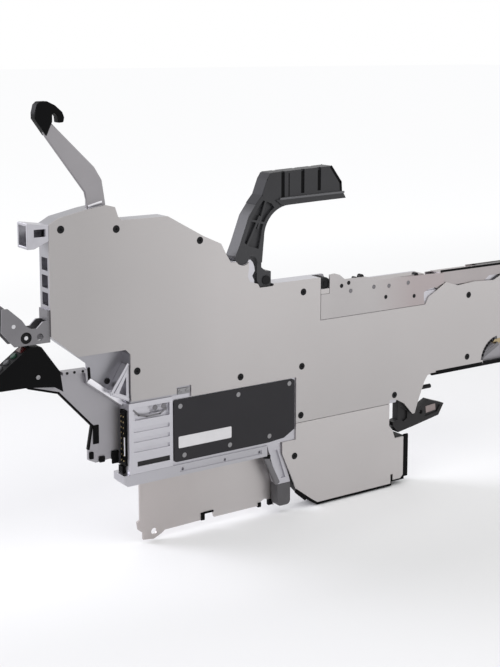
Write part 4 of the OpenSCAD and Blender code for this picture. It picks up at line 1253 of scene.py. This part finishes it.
@dataclass(frozen=True)
class SoftLamp:
    """A square lamp with a soft light.

    Attributes:
        name: Its name.
        place: Its place.
        aim: The point that it looks at.
        size: Its side.
        power: Its power.
        spread: Angle that its light spreads over, in degrees.
        colour: Colour of its light.
    """

    name: str
    place: Place
    aim: Place
    size: float
    power: float
    spread: float = 180
    colour: Colour = (1.0, 1.0, 1.0)

    def build(self) -> None:
        """Adds the lamp to the scene."""
        light = bpy.data.lights.new(self.name, "AREA")
        light.size = self.size
        light.energy = self.power
        light.spread = math.radians(self.spread)
        light.color = self.colour
        lamp = bpy.data.objects.new(self.name, light)
        lamp.location = self.place
        lamp.rotation_euler = (Vector(self.aim) - Vector(self.place)).to_track_quat("-Z", "Y").to_euler()
        bpy.context.scene.collection.objects.link(lamp)


@dataclass
class Studio:
    """Floor, light and camera.

    Attributes:
        floor_gap: Gap between the part and the floor.
        floor_size: Side of the square floor.
        camera_at: Place of the camera.
        yaw: Turn of the camera from the +Y direction towards +X, in degrees.
        pitch: Tilt of the camera below the horizon, in degrees.
        lens: Focal length in millimetres.
        sensor: Sensor's size along the picture's long side, in millimetres.
        shift: Vertical shift of the picture, as a share of its long side.
        world: Strength of the even light all round.
        lamps: Soft lamps at the rear left, above and at the front right.
    """

    floor_gap: float = 0.5 * MM
    floor_size: float = 40.0
    camera_at: Place = (-891.6 * MM, -831.5 * MM, 279.8 * MM)
    yaw: float = 34.27
    pitch: float = 8.44
    lens: float = 67.85
    sensor: float = 36
    shift: float = -0.15
    world: float = 0.98
    lamps: tuple[SoftLamp, ...] = (
        SoftLamp("left_softbox", (-1.25, 0.95, 0.62), (-0.36, 0, 0.14), 0.7, 1.9, 60, (0.92, 0.91, 1.0)),
        SoftLamp("top_softbox", (-0.3, -0.6, 1.5), (-0.3, 0, 0.05), 1.4, 5.0),
        SoftLamp("front_softbox", (0.9, -1.3, 0.2), (-0.25, 0, 0.0), 0.9, 1.2, colour=(1.0, 0.99, 0.98)),
    )

    def build(self) -> None:
        """Builds the floor, the world, the lamps and the camera."""
        self._floor()
        self._world()
        for lamp in self.lamps:
            lamp.build()
        self._camera()

    def _floor(self) -> None:
        """Adds the pale floor."""
        mesh = bmesh.new()
        bmesh.ops.create_grid(mesh, x_segments=1, y_segments=1, size=self.floor_size / 2)
        low = CAD_BOX[0]
        bmesh.ops.translate(mesh, verts=mesh.verts, vec=(low.x, 0, low.z - self.floor_gap))
        data = bpy.data.meshes.new("floor")
        mesh.to_mesh(data)
        mesh.free()
        data.materials.append(FloorFinish().material())
        floor = bpy.data.objects.new("floor", data)
        bpy.context.scene.collection.objects.link(floor)

    def _world(self) -> None:
        """Sets an even light, seen as plain white by the camera and in reflections."""
        world = bpy.data.worlds.new("studio")
        bpy.context.scene.world = world
        world.use_nodes = True
        tree = world.node_tree
        background = tree.nodes["Background"]
        background.inputs["Color"].default_value = (1, 1, 1, 1)
        rays = tree.nodes.new("ShaderNodeLightPath")
        seen = rays.outputs["Is Camera Ray"]
        for name in ("Is Glossy Ray", "Is Transmission Ray"):
            either = tree.nodes.new("ShaderNodeMath")
            either.operation = "MAXIMUM"
            tree.links.new(seen, either.inputs[0])
            tree.links.new(rays.outputs[name], either.inputs[1])
            seen = either.outputs["Value"]
        strength = tree.nodes.new("ShaderNodeMapRange")
        strength.inputs["To Min"].default_value = self.world
        strength.inputs["To Max"].default_value = 1.0
        tree.links.new(seen, strength.inputs["Value"])
        tree.links.new(strength.outputs["Result"], background.inputs["Strength"])

    def _camera(self) -> None:
        """Adds the camera at the photograph's viewing angle."""
        data = bpy.data.cameras.new("camera")
        data.sensor_width = self.sensor
        data.lens = self.lens
        data.shift_y = self.shift
        camera = bpy.data.objects.new("camera", data)
        yaw, pitch = math.radians(self.yaw), math.radians(self.pitch)
        ahead = Vector((math.sin(yaw) * math.cos(pitch), math.cos(yaw) * math.cos(pitch), -math.sin(pitch)))
        camera.location = self.camera_at
        camera.rotation_euler = ahead.to_track_quat("-Z", "Y").to_euler()
        bpy.context.scene.collection.objects.link(camera)
        bpy.context.scene.camera = camera


def main() -> None:
    """Builds the dressed part and its studio."""
    logging.basicConfig(level=logging.INFO, format="%(name)s: %(message)s")
    bpy.context.scene.view_settings.view_transform = "Standard"
    dress_nodes()
    for piece in ROUNDED:
        piece.build()
    for dress in (
        ControlCoverDress(), ConnectorDress(), RearArmDress(), BodyTrimDress(), GripDress(), TapeGuideDress(),
        GuidePlateDress(), DriveWindowDress(), LatchDress(), FixingsDress(),
    ):
        dress.build()
    Studio().build()


if __name__ == "__main__":
    main()
